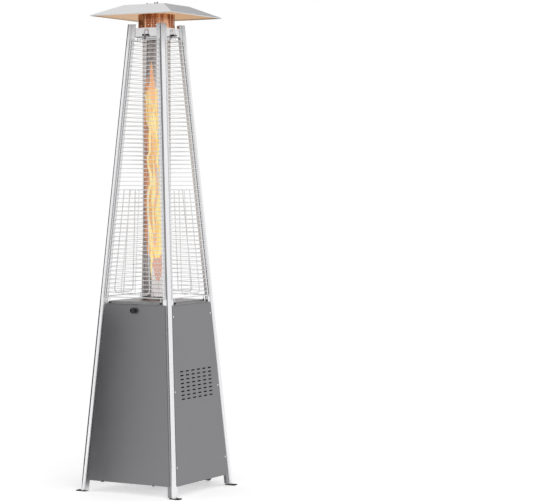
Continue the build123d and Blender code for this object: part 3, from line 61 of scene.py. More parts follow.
# Studio
FLOOR_SIZE = 80.0
FLOOR_COLOR = (0.9, 0.9, 0.9)
FLOOR_ROUGHNESS = 0.9
FLOOR_LIFT = 0.36
WORLD_STRENGTH = 0.72
WORLD_SEEN_STRENGTH = 1.0
KEY_PLACE = (2.2, -2.4, 2.2)
KEY_TARGET = (0.0, 0.0, 1.0)
KEY_SIZE = 1.6
KEY_POWER = 26.0

# Cards that only the shine of the object shows: name, middle, width, height, turn in degrees, colour
DARK_FLAG_COLOR = (0.02, 0.02, 0.022)
PALE_FLAG_COLOR = (0.57, 0.57, 0.58)
FLAG_ROUGHNESS = 0.9
FLAGS = (
    ("flag_low", (-1.091, -0.581, 0.415), 1.3, 1.03, -27, DARK_FLAG_COLOR),
    ("flag_side", (-2.2, -0.2, 1.5), 3.2, 3.2, -75, DARK_FLAG_COLOR),
    ("flag_back", (-0.88, 2.72, 3.3), 1.5, 1.6, 18, PALE_FLAG_COLOR),
)

# Brushed metal
TONE_RANGE = (0.3, 0.7)
STREAK_DETAIL = 4.0
STREAK_ROUGHNESS = 0.6
STREAK_GLOSS_RANGE = (0.2, 0.8)
STREAK_GLOSS_SHARES = (0.8, 1.25)
BRUSHED_CLOUD_SCALE = (9.0, 9.0, 5.0)
BRUSHED_CLOUD_DETAIL = 2.0
BRUSHED_CLOUD_SHARES = (0.12, 0.0)
BRUSHED_CLOUD_SHADE_SHARE = 0.8
BRUSHED_BUMP = 0.35
BRUSH_DEPTH = 0.0001
# Painted shade in crevices, where nearby surfaces shut out the light: its colour, reach and deepest share
CREVICE_SHADE_COLOR = (0.05, 0.05, 0.055)
CREVICE_REACH = 0.012
CREVICE_SHADE = 0.35

# Coats and moulded surfaces
COAT_SPECK_DETAIL = 2.0
COAT_SPECK_RANGE = (0.45, 0.75)
COAT_SPECK_SHARES = (0.0, 0.25)
COAT_SPECK_SHADE_SHARE = 1.35
COAT_CLOUD_SCALE = (6.0, 6.0, 4.0)
COAT_CLOUD_DETAIL = 3.0
COAT_GLOSS_SHARES = (0.9, 1.15)
# Painted shade in crevices of coats, where nearby surfaces shut out the light
COAT_CREVICE_REACH = 0.015
COAT_CREVICE_SHADE = 0.45
COAT_CREVICE_SHADE_SHARE = 0.3
COAT_BUMP = 0.12
COAT_DEPTH = 0.0002

# Legs. The nose lines run from the floor to the legs' tops, at these distances from the middle planes
LEG_COLOR = (0.86, 0.86, 0.875)
# Painted light: inward faces get a colour of their own and less metal, so that they read brighter
LEG_INSIDE_LIT_COLOR = (0.82, 0.82, 0.83)
# Painted shade at the legs' tops under the reflector
LEG_TOP_SHADE_COLOR = (0.16, 0.16, 0.17)
# Painted shade on the flanges beside the panels
LEG_FLANGE_SHADE_COLOR = (0.27, 0.27, 0.28)
LEG_GRAIN = (700.0, 700.0, 5.0)
LEG_CREVICE_REACH = 0.010
LEG_METALLIC = 0.90
LEG_INSIDE_LIT_METALLIC = 0.35
LEG_INSIDE_RANGE = (-0.02, -0.05)
# Painted shade at the legs' tops under the reflector: heights where it starts and is full, and its shares
LEG_TOP_SHADE_RANGE = (2.04, 2.18)
LEG_TOP_SHADE_SHARES = (0.0, 0.62)
NOSE_LOW_HALF = 0.25
NOSE_TOP_HALF = 0.088
NOSE_TOP_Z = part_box("leg_front_right")[1].z
DECK_EDGE_Z = 0.873
# Painted shade on the flanges beside the panels: below the deck's edge, on the right half of each side,
# away from the nose
FLANGE_SHADE_FADE = 0.002
FLANGE_SHADE_TOP_RANGE = (DECK_EDGE_Z, DECK_EDGE_Z - FLANGE_SHADE_FADE)
FLANGE_SHADE_SIDE_RANGE = (0.04, 0.05)
FLANGE_SHADE_AWAY_RANGE = (0.0112, 0.0120)

# Panels, wires, sheets, deck and burner
PANEL_COLOR = (0.225, 0.221, 0.229)
PANEL_GRAIN = 1600.0
WIRE_COLOR = (0.82, 0.82, 0.83)
WIRE_GRAIN = (1200.0, 1200.0, 1200.0)
WIRE_DEPTH = 0.00002
WIRE_CREVICE_REACH = 0.003
SHEET_COLOR = (0.78, 0.78, 0.795)
SHEET_GRAIN = (14.0, 14.0, 900.0)
SHEET_CREVICE_REACH = 0.006
DECK_COLOR = (0.37, 0.37, 0.38)
DECK_GRAIN = (14.0, 700.0, 400.0)
# Painted reflection of the flame's warm light on the deck near the burner
DECK_WARM_REFLECTION_COLOR = (0.36, 0.22, 0.14)
DECK_WARM_REFLECTION_RADII = (0.06, 0.16)
DECK_WARM_REFLECTION_SHARES = (0.5, 0.0)
BURNER_COLOR = (0.42, 0.39, 0.37)
BURNER_GRAIN = (90.0, 90.0, 90.0)
BURNER_STAIN_COLOR = (0.34, 0.20, 0.13)
BURNER_STAIN_SCALE = (22.0, 22.0, 22.0)
BURNER_STAIN_RANGE = (0.45, 0.65)
BURNER_STAIN_SHARES = (0.0, 0.6)

# Flame screen
SCREEN_COLOR = (0.24, 0.072, 0.034)
SCREEN_GRAIN = (60.0, 60.0, 500.0)
# Lighter vertical bands round the screen: partly tone changes, partly painted highlight streaks
SCREEN_TONE_AND_HIGHLIGHT_COLOR = (0.74, 0.42, 0.27)
SCREEN_BAND_SCALE = (48.0, 48.0, 4.0)
SCREEN_BAND_RANGE = (0.47, 0.58)
SCREEN_BAND_SHARES = (0.0, 0.9)
SCREEN_INSIDE_COLOR = (0.08, 0.03, 0.015)
SCREEN_INSIDE_RANGE = (-0.01, -0.04)
SCREEN_GLOW_COLOR = (1.0, 0.36, 0.12)
SCREEN_GLOW_RANGE = tuple(corner.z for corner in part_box("flame_screen"))
SCREEN_GLOWS = (0.10, 0.03)

# Reflector
REFLECTOR_COLOR = (0.67, 0.67, 0.68)
REFLECTOR_GRAIN = (11.0, 600.0, 40.0)
REFLECTOR_UNDER_RANGE = (-0.2, -0.4)
REFLECTOR_WARM_RADII = (0.08, 0.26)
REFLECTOR_WARM_COLORS = ((0.50, 0.26, 0.12), (0.52, 0.32, 0.17))
REFLECTOR_GLOW_COLOR = (1.0, 0.60, 0.30)
REFLECTOR_GLOW_RADII = (0.06, 0.30)
REFLECTOR_GLOWS = (0.18, 0.06)

# Glass tube
GLASS_HAZE_SCALE = (16.0, 16.0, 3.0)
GLASS_TINTS = ((0.35, (0.875, 0.855, 0.85)), (0.65, (0.965, 0.955, 0.95)))
# Painted shade at the tube's edges, where it is seen at a slant: colour, facing range and shares
GLASS_RIM_SHADE_COLOR = (0.10, 0.085, 0.08)
GLASS_RIM_RANGE = (0.45, 0.95)
GLASS_RIM_SHARES = (0.0, 0.12)
GLASS_EVEN_BLEND = 0.5
GLASS_SHINE_COLOR = (0.72, 0.70, 0.69)
GLASS_SHINE_ROUGHNESS = 0.06
GLASS_SHINE_SHARES = (0.05, 0.16)

# Small parts
GASKET_SCALE = (500.0, 500.0, 900.0)
GASKET_TONES = ((0.35, (0.45, 0.43, 0.39)), (0.65, (0.72, 0.70, 0.66)))
GASKET_BUMP = 0.6
GASKET_DEPTH = 0.0004
KNOB_COLOR = (0.012, 0.012, 0.014)
KNOB_GRAIN = 900.0
BLACK_COAT_COLOR = (0.012, 0.012, 0.013)
CERAMIC_SCALE = (260.0, 260.0, 260.0)
CERAMIC_TONES = ((0.4, (0.78, 0.75, 0.70)), (0.7, (0.88, 0.86, 0.82)))
BRASS_COLOR = (0.66, 0.46, 0.18)
BRASS_GRAIN = (200.0, 200.0, 1200.0)
ZINC_COLOR = (0.82, 0.82, 0.83)
ZINC_GRAIN = (600.0, 600.0, 600.0)
FOOT_COLOR = (0.02, 0.02, 0.02)
CONTROL_COLOR = (0.025, 0.025, 0.025)
MAGNET_COLOR = (0.04, 0.04, 0.04)
TYRE_COLOR = (0.018, 0.018, 0.018)

# Colours and licks of the flame
FLAME_RED = (0.68, 0.24, 0.13)
FLAME_ORANGE = (1.0, 0.42, 0.17)
FLAME_GOLD = (1.0, 0.62, 0.12)
FLAME_PALE = (1.0, 0.84, 0.36)
FLAME_EMBER = (1.0, 0.52, 0.24)
FLAME_BROWN = (0.30, 0.16, 0.12)
FLAME_DUSK = (0.50, 0.19, 0.11)
FLAME_COPPER = (0.80, 0.36, 0.20)
FLAME_STRENGTH = 1.18
FLAME_SWIRL = 1.2
FLAME_COVER_RANGE = (0.38, 0.58)
BROAD_LICKS = (55.0, 55.0, 12.0)
FINE_LICKS = (85.0, 85.0, 14.0)
HAZE_LICKS = (90.0, 90.0, 25.0)

# Every glow of the flame: scale of its licks, shares that it covers where thin and dense, colour stops
FLAME_GLOWS = {
    "body": (FINE_LICKS, (0.25, 0.70), ((0.36, FLAME_RED), (0.46, FLAME_ORANGE), (0.60, FLAME_GOLD))),
    "strand": (BROAD_LICKS, (0.75, 0.97), ((0.36, FLAME_GOLD), (0.48, FLAME_PALE))),
    "crown": (FINE_LICKS, (0.45, 0.90), ((0.36, FLAME_ORANGE), (0.42, FLAME_GOLD), (0.50, FLAME_PALE))),
    "ember": (BROAD_LICKS, (0.45, 0.75), ((0.36, FLAME_ORANGE), (0.60, FLAME_EMBER))),
    "haze": (HAZE_LICKS, (0.45, 0.65), ((0.40, FLAME_BROWN), (0.62, FLAME_ORANGE))),
    "smoke": (FINE_LICKS, (0.25, 0.60), ((0.36, FLAME_DUSK), (0.62, FLAME_COPPER))),
}

# Sway, swell and ripple of the tongues. The scales are in noise cells per metre of height
FLAME_SIDES = 28
FLAME_RINGS = 90
SWAY = 0.0015
SWAY_SCALE = 16.0
SWAY_SEED_STEP = 3.1
SWELL_SHARE = 0.3
SWELL_SCALE = 22.0
RIPPLE_SHARE = 0.3
RIPPLE_SCALE = 14.0
RIPPLE_ROUND_CELLS = 1.3
THINNEST_REACH = 0.0004

# Tongues of the flame: (height, place across, half width), from low to high
FLAME_CROWN = (
    (1.633, -0.010, 0.004), (1.670, -0.013, 0.018), (1.707, -0.015, 0.027), (1.736, -0.016, 0.031),
    (1.820, -0.017, 0.031), (1.862, -0.017, 0.030), (1.870, -0.016, 0.018),
)
FLAME_TIP = (
    (1.800, -0.013, 0.006), (1.843, -0.018, 0.016), (1.876, -0.021, 0.016), (1.913, -0.023, 0.011),
    (1.960, -0.024, 0.006), (1.997, -0.024, 0.001),
)
FLAME_BODY = (
    (1.083, -0.004, 0.020), (1.095, -0.006, 0.030), (1.212, -0.013, 0.032), (1.306, -0.015, 0.030),
    (1.399, -0.018, 0.026), (1.492, -0.020, 0.022), (1.586, -0.022, 0.020), (1.679, -0.018, 0.022),
    (1.773, -0.015, 0.022), (1.810, -0.016, 0.010),
)
FLAME_RIGHT = (
    (1.083, 0.002, 0.010), (1.100, 0.004, 0.014), (1.119, 0.006, 0.014), (1.189, 0.010, 0.011),
    (1.235, 0.009, 0.013), (1.306, 0.009, 0.014), (1.352, 0.013, 0.010), (1.399, 0.017, 0.005),
    (1.450, 0.016, 0.004), (1.488, 0.013, 0.005), (1.530, 0.002, 0.005), (1.581, 0.005, 0.006),
    (1.633, 0.003, 0.006), (1.654, -0.002, 0.005), (1.700, -0.008, 0.004), (1.745, -0.004, 0.002),
)
FLAME_LEFT = (
    (0.985, -0.025, 0.001), (1.049, -0.026, 0.004), (1.091, -0.023, 0.008), (1.119, -0.019, 0.009),
    (1.147, -0.026, 0.009), (1.184, -0.026, 0.010), (1.226, -0.033, 0.007), (1.259, -0.038, 0.005),
    (1.306, -0.042, 0.004), (1.352, -0.042, 0.004), (1.399, -0.038, 0.006), (1.427, -0.026, 0.008),
    (1.467, -0.028, 0.005), (1.514, -0.040, 0.004), (1.550, -0.043, 0.004), (1.581, -0.031, 0.004),
    (1.654, -0.031, 0.004), (1.740, -0.027, 0.002),
)
FLAME_MIDDLE = (
    (1.190, -0.012, 0.001), (1.212, -0.013, 0.004), (1.282, -0.018, 0.004), (1.352, -0.020, 0.006),
    (1.399, -0.015, 0.010), (1.432, -0.013, 0.009), (1.483, -0.015, 0.003), (1.560, -0.016, 0.001),
)
FLAME_LOW = (
    (0.975, 0.004, 0.006), (1.010, 0.005, 0.018), (1.045, 0.005, 0.026), (1.083, 0.004, 0.026),
    (1.100, 0.003, 0.018),
)
FLAME_HAZE = (
    (1.100, -0.042, 0.006), (1.200, -0.045, 0.012), (1.700, -0.046, 0.012), (1.850, -0.045, 0.011),
    (1.930, -0.043, 0.004),
)

# Every tongue: name, glow, place towards the camera, seed of its noise, points
FLAME_TONGUES = (
    ("flame_body", "body", 0.0, 7.7, FLAME_BODY),
    ("flame_crown", "crown", 0.004, 2.3, FLAME_CROWN),
    ("flame_tip", "ember", 0.026, 5.1, FLAME_TIP),
    ("flame_right", "strand", 0.033, 9.4, FLAME_RIGHT),
    ("flame_left", "strand", 0.030, 11.9, FLAME_LEFT),
    ("flame_middle", "strand", 0.036, 4.6, FLAME_MIDDLE),
    ("flame_low", "smoke", 0.004, 6.2, FLAME_LOW),
    ("flame_haze", "haze", 0.0, 13.3, FLAME_HAZE),
)


class Graph:
    """Node graph of one material with short ways to add nodes."""

    def __init__(self, name):
        self.material = bpy.data.materials.new(name)
        self.material.use_nodes = True
        tree = self.material.node_tree
        self.nodes = tree.nodes
        self.links = tree.links
        self.shader = self.nodes["Principled BSDF"]
        self.output = self.nodes["Material Output"]
        self.place = self.nodes.new("ShaderNodeTexCoord").outputs["Object"]

    def value(self, socket, content):
        """Links a socket or sets a plain value."""
        if hasattr(content, "is_output"):
            self.links.new(content, socket)
        elif hasattr(content, "__len__") and len(content) == 3 and socket.type == "RGBA":
            socket.default_value = (*content, 1)
        else:
            socket.default_value = content

    def set(self, **inputs):
        """Sets inputs of the main shader; underscores stand for spaces."""
        for name, content in inputs.items():
            self.value(self.shader.inputs[name.replace("_", " ")], content)

    def color_so_far(self):
        """What feeds the main shader's colour until now."""
        return self.shader.inputs["Base Color"].links[0].from_socket

    def stretched(self, scale):
        """Object coordinates scaled along each axis."""
        node = self.nodes.new("ShaderNodeMapping")
        node.inputs["Scale"].default_value = scale
        self.links.new(self.place, node.inputs["Vector"])
        return node.outputs["Vector"]

    def noise(self, scale, detail=3.0, rough=0.55, swirl=0.0):
        """Noise with its own scale along each axis."""
        node = self.nodes.new("ShaderNodeTexNoise")
        node.inputs["Scale"].default_value = 1
        node.inputs["Detail"].default_value = detail
        node.inputs["Roughness"].default_value = rough
        node.inputs["Distortion"].default_value = swirl
        self.links.new(self.stretched(scale), node.inputs["Vector"])
        return node.outputs["Fac"]

    def ramp(self, factor, stops):
        """Colour ramp from (position, colour) stops."""
        node = self.nodes.new("ShaderNodeValToRGB")
        while len(node.color_ramp.elements) < len(stops):
            node.color_ramp.elements.new(1)
        for element, (position, color) in zip(node.color_ramp.elements, stops):
            element.position = position
            element.color = (*color, 1)
        self.links.new(factor, node.inputs["Fac"])
        return node.outputs["Color"]

    def span(self, factor, source, target):
        """Maps a range to another and clamps it."""
        node = self.nodes.new("ShaderNodeMapRange")
        self.value(node.inputs["Value"], factor)
        for name, content in zip(("From Min", "From Max", "To Min", "To Max"), (*source, *target)):
            node.inputs[name].default_value = content
        return node.outputs["Result"]

    def math(self, kind, first, second=0.0):
        """One arithmetic step; some kinds take only the first value."""
        node = self.nodes.new("ShaderNodeMath")
        node.operation = kind
        self.value(node.inputs[0], first)
        self.value(node.inputs[1], second)
        return node.outputs[0]

    def mix(self, factor, first, second):
        """Mixes two colours."""
        node = self.nodes.new("ShaderNodeMix")
        node.data_type = "RGBA"
        self.value(node.inputs[0], factor)
        self.value(node.inputs[6], first)
        self.value(node.inputs[7], second)
        return node.outputs[2]

    def axis(self, letter):
        """One object coordinate."""
        node = self.nodes.new("ShaderNodeSeparateXYZ")
        self.links.new(self.place, node.inputs[0])
        return node.outputs[letter]

    def distance(self, letter):
        """Size of one object coordinate without its sign."""
        return self.math("ABSOLUTE", self.axis(letter))

    def normal(self, letter):
        """One part of the surface normal."""
        geometry = self.nodes.new("ShaderNodeNewGeometry")
        node = self.nodes.new("ShaderNodeSeparateXYZ")
        self.links.new(geometry.outputs["Normal"], node.inputs[0])
        return node.outputs[letter]

    def outward(self):
        """Positive where a surface faces away from the vertical axis."""
        across = self.math("MULTIPLY", self.axis("X"), self.normal("X"))
        along = self.math("MULTIPLY", self.axis("Y"), self.normal("Y"))
        return self.math("ADD", across, along)

    def clockwise(self):
        """Positive on the right half of each side, seen from outside."""
        along = self.math("MULTIPLY", self.axis("Y"), self.normal("X"))
        across = self.math("MULTIPLY", self.axis("X"), self.normal("Y"))
        return self.math("SUBTRACT", along, across)

    def radius(self):
        """Distance from the vertical axis."""
        x = self.axis("X")
        y = self.axis("Y")
        square = self.math("ADD", self.math("MULTIPLY", x, x), self.math("MULTIPLY", y, y))
        return self.math("SQRT", square)

    def bump(self, height, strength, distance):
        """Bumps the main shader's normal."""
        node = self.nodes.new("ShaderNodeBump")
        node.inputs["Strength"].default_value = strength
        node.inputs["Distance"].default_value = distance
        self.links.new(height, node.inputs["Height"])
        self.links.new(node.outputs["Normal"], self.shader.inputs["Normal"])

    def crevices(self, reach, deepest):
        """1 in the open, down to the deepest value where surfaces within reach shut out the light."""
        node = self.nodes.new("ShaderNodeAmbientOcclusion")
        node.inputs["Distance"].default_value = reach
        return self.span(node.outputs["AO"], FULL, (deepest, 1.0))

    def see_through(self, tint, cover, layer):
        """Ends the material in a tinted see-through body with a second shader laid over it."""
        clear = self.nodes.new("ShaderNodeBsdfTransparent")
        self.value(clear.inputs["Color"], tint)
        mixed = self.nodes.new("ShaderNodeMixShader")
        self.value(mixed.inputs[0], cover)
        self.links.new(clear.outputs[0], mixed.inputs[1])
        self.links.new(layer.outputs[0], mixed.inputs[2])
        self.links.new(mixed.outputs[0], self.output.inputs["Surface"])


def shade(color, share):
    """A colour made darker or lighter."""
    return tuple(min(1.0, part * share) for part in color)


def spread_stops(color, spread):
    """Ramp stops from a darker to a lighter form of a colour."""
    return [(TONE_RANGE[0], shade(color, 1 - spread)), (TONE_RANGE[1], shade(color, 1 + spread))]


def brushed(name, color, roughness, grain, metallic=1.0, spread=0.12, depth=BRUSH_DEPTH,
            reach=CREVICE_REACH, deepest=CREVICE_SHADE):
    """Brushed metal: fine streaks along the axis whose grain is the smallest number."""
    graph = Graph(name)
    streaks = graph.noise(grain, STREAK_DETAIL, STREAK_ROUGHNESS)
    clouds = graph.noise(BRUSHED_CLOUD_SCALE, BRUSHED_CLOUD_DETAIL)
    tone = graph.ramp(streaks, spread_stops(color, spread))
    # Painted shade: the colour turns dark in crevices where nearby surfaces shut out the light
    crevice_shaded = graph.mix(graph.crevices(reach, deepest), CREVICE_SHADE_COLOR, tone)
    cover = graph.span(clouds, TONE_RANGE, BRUSHED_CLOUD_SHARES)
    gloss = [roughness * share for share in STREAK_GLOSS_SHARES]
    graph.set(Base_Color=graph.mix(cover, crevice_shaded, shade(color, BRUSHED_CLOUD_SHADE_SHARE)))
    graph.set(Metallic=metallic, Roughness=graph.span(streaks, STREAK_GLOSS_RANGE, gloss))
    graph.bump(streaks, BRUSHED_BUMP, depth)
    return graph


def coated(name, color, roughness, grain=1400.0, spread=0.06, metallic=0.0):
    """Powder coat or moulded surface with fine grain and slight clouds."""
    graph = Graph(name)
    fine = graph.noise((grain, grain, grain), COAT_SPECK_DETAIL)
    clouds = graph.noise(COAT_CLOUD_SCALE, COAT_CLOUD_DETAIL)
    tone = graph.ramp(clouds, spread_stops(color, spread))
    cover = graph.span(fine, COAT_SPECK_RANGE, COAT_SPECK_SHARES)
    specked = graph.mix(cover, tone, shade(color, COAT_SPECK_SHADE_SHARE))
    # Painted shade: the colour turns to a darker copy of it in crevices where nearby surfaces shut out the
    # light
    open_share = graph.crevices(COAT_CREVICE_REACH, COAT_CREVICE_SHADE)
    gloss = [roughness * share for share in COAT_GLOSS_SHARES]
    graph.set(Base_Color=graph.mix(open_share, shade(color, COAT_CREVICE_SHADE_SHARE), specked))
    graph.set(Metallic=metallic, Roughness=graph.span(clouds, TONE_RANGE, gloss))
    graph.bump(fine, COAT_BUMP, COAT_DEPTH)
    return graph


def leg_metal():
    """Satin aluminium, with painted shade at its top under the reflector, inward faces paler and less
    metallic as painted light, and painted shade on the flanges beside the panels.
    """
    graph = brushed("leg_metal", LEG_COLOR, roughness=0.14, grain=LEG_GRAIN, metallic=LEG_METALLIC,
                    spread=0.04, reach=LEG_CREVICE_REACH, deepest=0.08)
    # Painted shade: the legs darken towards their tops, under the reflector
    top_shade = graph.span(graph.axis("Z"), LEG_TOP_SHADE_RANGE, LEG_TOP_SHADE_SHARES)
    top_shaded = graph.mix(top_shade, graph.color_so_far(), LEG_TOP_SHADE_COLOR)
    # Painted light: faces turned inwards are paler and less metallic, so that they read brighter
    inside = graph.span(graph.outward(), LEG_INSIDE_RANGE, FULL)
    skin = graph.mix(inside, top_shaded, LEG_INSIDE_LIT_COLOR)
    # Painted shade: grey on the flanges beside the panels, below the deck's edge and on the right half of
    # each side
    nearest = graph.math("MINIMUM", graph.distance("X"), graph.distance("Y"))
    line = graph.span(graph.axis("Z"), (0.0, NOSE_TOP_Z), (NOSE_LOW_HALF, NOSE_TOP_HALF))
    away = graph.span(graph.math("SUBTRACT", line, nearest), FLANGE_SHADE_AWAY_RANGE, FULL)
    low = graph.span(graph.axis("Z"), FLANGE_SHADE_TOP_RANGE, FULL)
    right = graph.math("MULTIPLY", low, graph.span(graph.clockwise(), FLANGE_SHADE_SIDE_RANGE, FULL))
    graph.set(Base_Color=graph.mix(graph.math("MULTIPLY", right, away), skin, LEG_FLANGE_SHADE_COLOR))
    graph.set(Metallic=graph.span(inside, FULL, (LEG_METALLIC, LEG_INSIDE_LIT_METALLIC)))
    return graph.material


def panel_paint():
    """Dark grey satin metallic coat."""
    graph = coated("panel_paint", PANEL_COLOR, roughness=0.32, grain=PANEL_GRAIN, spread=0.03, metallic=0.8)
    return graph.material


def wire_metal():
    """Bright plated wire."""
    graph = brushed("wire_metal", WIRE_COLOR, roughness=0.28, grain=WIRE_GRAIN, metallic=0.45,
                    spread=0.03, depth=WIRE_DEPTH, reach=WIRE_CREVICE_REACH, deepest=0.8)
    return graph.material


def sheet_metal():
    """Plain brushed sheet."""
    graph = brushed("sheet_metal", SHEET_COLOR, roughness=0.28, grain=SHEET_GRAIN, spread=0.07,
                    reach=SHEET_CREVICE_REACH, deepest=0.5)
    return graph.material


def deck_metal():
    """Brushed sheet with a painted warm reflection of the flame near the burner."""
    graph = brushed("deck_metal", DECK_COLOR, roughness=0.40, grain=DECK_GRAIN, metallic=0.85, spread=0.08)
    # Painted reflection: warm colour of the flame's light, strongest near the burner
    heat = graph.span(graph.radius(), DECK_WARM_REFLECTION_RADII, DECK_WARM_REFLECTION_SHARES)
    graph.set(Base_Color=graph.mix(heat, graph.color_so_far(), DECK_WARM_REFLECTION_COLOR))
    return graph.material


def burner_metal():
    """Steel blued and browned by heat."""
    graph = brushed("burner_metal", BURNER_COLOR, roughness=0.38, grain=BURNER_GRAIN, metallic=0.9,
                    spread=0.2)
    stain = graph.span(graph.noise(BURNER_STAIN_SCALE), BURNER_STAIN_RANGE, BURNER_STAIN_SHARES)
    graph.set(Base_Color=graph.mix(stain, graph.color_so_far(), BURNER_STAIN_COLOR))
    return graph.material


def screen_metal():
    """Perforated screen, copper coloured by heat, with lighter vertical bands round it that are partly tone
    changes and partly painted highlight streaks, and a glow from below.
    """
    graph = brushed("screen_metal", SCREEN_COLOR, roughness=0.20, grain=SCREEN_GRAIN, spread=0.2)
    # Lighter vertical bands: partly tone changes of the copper, partly painted highlight streaks
    tones = graph.noise(SCREEN_BAND_SCALE, detail=2.0)
    bands = graph.span(tones, SCREEN_BAND_RANGE, SCREEN_BAND_SHARES)
    skin = graph.mix(bands, graph.color_so_far(), SCREEN_TONE_AND_HIGHLIGHT_COLOR)
    inside = graph.span(graph.outward(), SCREEN_INSIDE_RANGE, FULL)
    graph.set(Base_Color=graph.mix(inside, skin, SCREEN_INSIDE_COLOR))
    glow = graph.span(graph.axis("Z"), SCREEN_GLOW_RANGE, SCREEN_GLOWS)
    graph.set(Emission_Color=SCREEN_GLOW_COLOR, Emission_Strength=glow)
    return graph.material


def reflector_metal():
    """Brushed outside, warm inside where the hot gas and the flame light it."""
    graph = brushed("reflector_metal", REFLECTOR_COLOR, roughness=0.30, grain=REFLECTOR_GRAIN, metallic=0.9,
                    spread=0.05)
    under = graph.span(graph.normal("Z"), REFLECTOR_UNDER_RANGE, FULL)
    warm = graph.mix(graph.span(graph.radius(), REFLECTOR_WARM_RADII, FULL), *REFLECTOR_WARM_COLORS)
    graph.set(Base_Color=graph.mix(under, graph.color_so_far(), warm))
    glow = graph.span(graph.radius(), REFLECTOR_GLOW_RADII, REFLECTOR_GLOWS)
    graph.set(Emission_Color=REFLECTOR_GLOW_COLOR, Emission_Strength=graph.math("MULTIPLY", under, glow))
    return graph.material


def tube_glass():
    """Clear tube: tinted see-through body whose tint is darkened towards the edges as painted shade, with a
    reflection that grows towards the edges.
    """
    graph = Graph("tube_glass")
    graph.nodes.remove(graph.shader)
    tint = graph.ramp(graph.noise(GLASS_HAZE_SCALE), GLASS_TINTS)
    weight = graph.nodes.new("ShaderNodeLayerWeight")
    weight.inputs["Blend"].default_value = GLASS_EVEN_BLEND
    facing = weight.outputs["Facing"]
    # Painted shade: the tint darkens towards the edges where the tube is seen at a slant
    rim_shaded = graph.mix(graph.span(facing, GLASS_RIM_RANGE, GLASS_RIM_SHARES), tint, GLASS_RIM_SHADE_COLOR)
    shine = graph.nodes.new("ShaderNodeBsdfGlossy")
    graph.value(shine.inputs["Color"], GLASS_SHINE_COLOR)
    shine.inputs["Roughness"].default_value = GLASS_SHINE_ROUGHNESS
    graph.see_through(rim_shaded, graph.span(facing, FULL, GLASS_SHINE_SHARES), shine)
    return graph.material


def woven_gasket():
    """Pale woven glass fibre."""
    graph = Graph("gasket_weave")
    weave = graph.noise(GASKET_SCALE, detail=2.0)
    graph.set(Base_Color=graph.ramp(weave, GASKET_TONES), Roughness=0.9)
    graph.bump(weave, GASKET_BUMP, GASKET_DEPTH)
    return graph.material


def dark_gloss():
    """Polished dark knob."""
    graph = coated("knob_gloss", KNOB_COLOR, roughness=0.16, grain=KNOB_GRAIN, spread=0.1)
    graph.set(Specular_IOR_Level=0.3, Coat_Weight=0.1)
    return graph.material


def black_coat():
    """Dull black coat of the wing nuts."""
    graph = coated("black_coat", BLACK_COAT_COLOR, roughness=0.6)
    graph.set(Specular_IOR_Level=0.15)
    return graph.material


def ceramic():
    """Glazed white ceramic."""
    graph = Graph("ceramic_glaze")
    spots = graph.noise(CERAMIC_SCALE, detail=2.0)
    graph.set(Base_Color=graph.ramp(spots, CERAMIC_TONES), Roughness=0.2)
    return graph.material


def brass():
    """Machined brass."""
    graph = brushed("machined_brass", BRASS_COLOR, roughness=0.28, grain=BRASS_GRAIN, spread=0.1)
    return graph.material


def screw_zinc():
    """Bright zinc of screws, nuts and pins."""
    graph = brushed("screw_zinc", ZINC_COLOR, roughness=0.3, grain=ZINC_GRAIN, metallic=0.8, spread=0.06)
    return graph.material


def moulded(name, color, roughness, grain):
    """Plain dark moulding."""
    return coated(name, color, roughness, grain).material


def paint_nodes():
    """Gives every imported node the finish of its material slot."""
    finishes = {
        "leg_aluminium": leg_metal(),
        "panel_paint": panel_paint(),
        "sheet_steel": sheet_metal(),
        "deck_steel": deck_metal(),
        "wire_chrome": wire_metal(),
        "screw_steel": screw_zinc(),
        "black_steel": black_coat(),
        "foot_black": moulded("foot_moulding", FOOT_COLOR, roughness=0.6, grain=700.0),
        "knob_dark": dark_gloss(),
        "control_black": moulded("control_moulding", CONTROL_COLOR, roughness=0.45, grain=900.0),
        "magnet_black": moulded("magnet_case", MAGNET_COLOR, roughness=0.55, grain=900.0),
        "brass": brass(),
        "burner_steel": burner_metal(),
        "ceramic_white": ceramic(),
        "gasket": woven_gasket(),
        "tube_glass": tube_glass(),
        "screen_steel": screen_metal(),
        "reflector_aluminium": reflector_metal(),
        "tyre_black": moulded("wheel_moulding", TYRE_COLOR, roughness=0.6, grain=600.0),
    }
    for entry in frame["record"]["subparts"]:
        node = frame["nodes"][entry["node"]]
        node.data.materials.clear()
        node.data.materials.append(finishes[entry["material_slot"]])


def flame_material(name, scale, shares, stops):
    """Glow of a part of the flame, from thin to dense along its licks."""
    graph = Graph(name)
    graph.nodes.remove(graph.shader)
    licks = graph.noise(scale, rough=0.6, swirl=FLAME_SWIRL)
    glow = graph.nodes.new("ShaderNodeEmission")
    graph.value(glow.inputs["Color"], graph.ramp(licks, stops))
    glow.inputs["Strength"].default_value = FLAME_STRENGTH
    graph.see_through(WHITE, graph.span(licks, FLAME_COVER_RANGE, shares), glow)
    return graph.material


def between(points, z):
    """Place across and half width of a tongue at a height, eased between its listed points."""
    for low, high in zip(points, points[1:]):
        if z <= high[0]:
            share = max(0.0, (z - low[0]) / (high[0] - low[0]))
            eased = share * share * (3 - 2 * share)
            return [start + (end - start) * eased for start, end in zip(low[1:], high[1:])]
    return points[-1][1:]


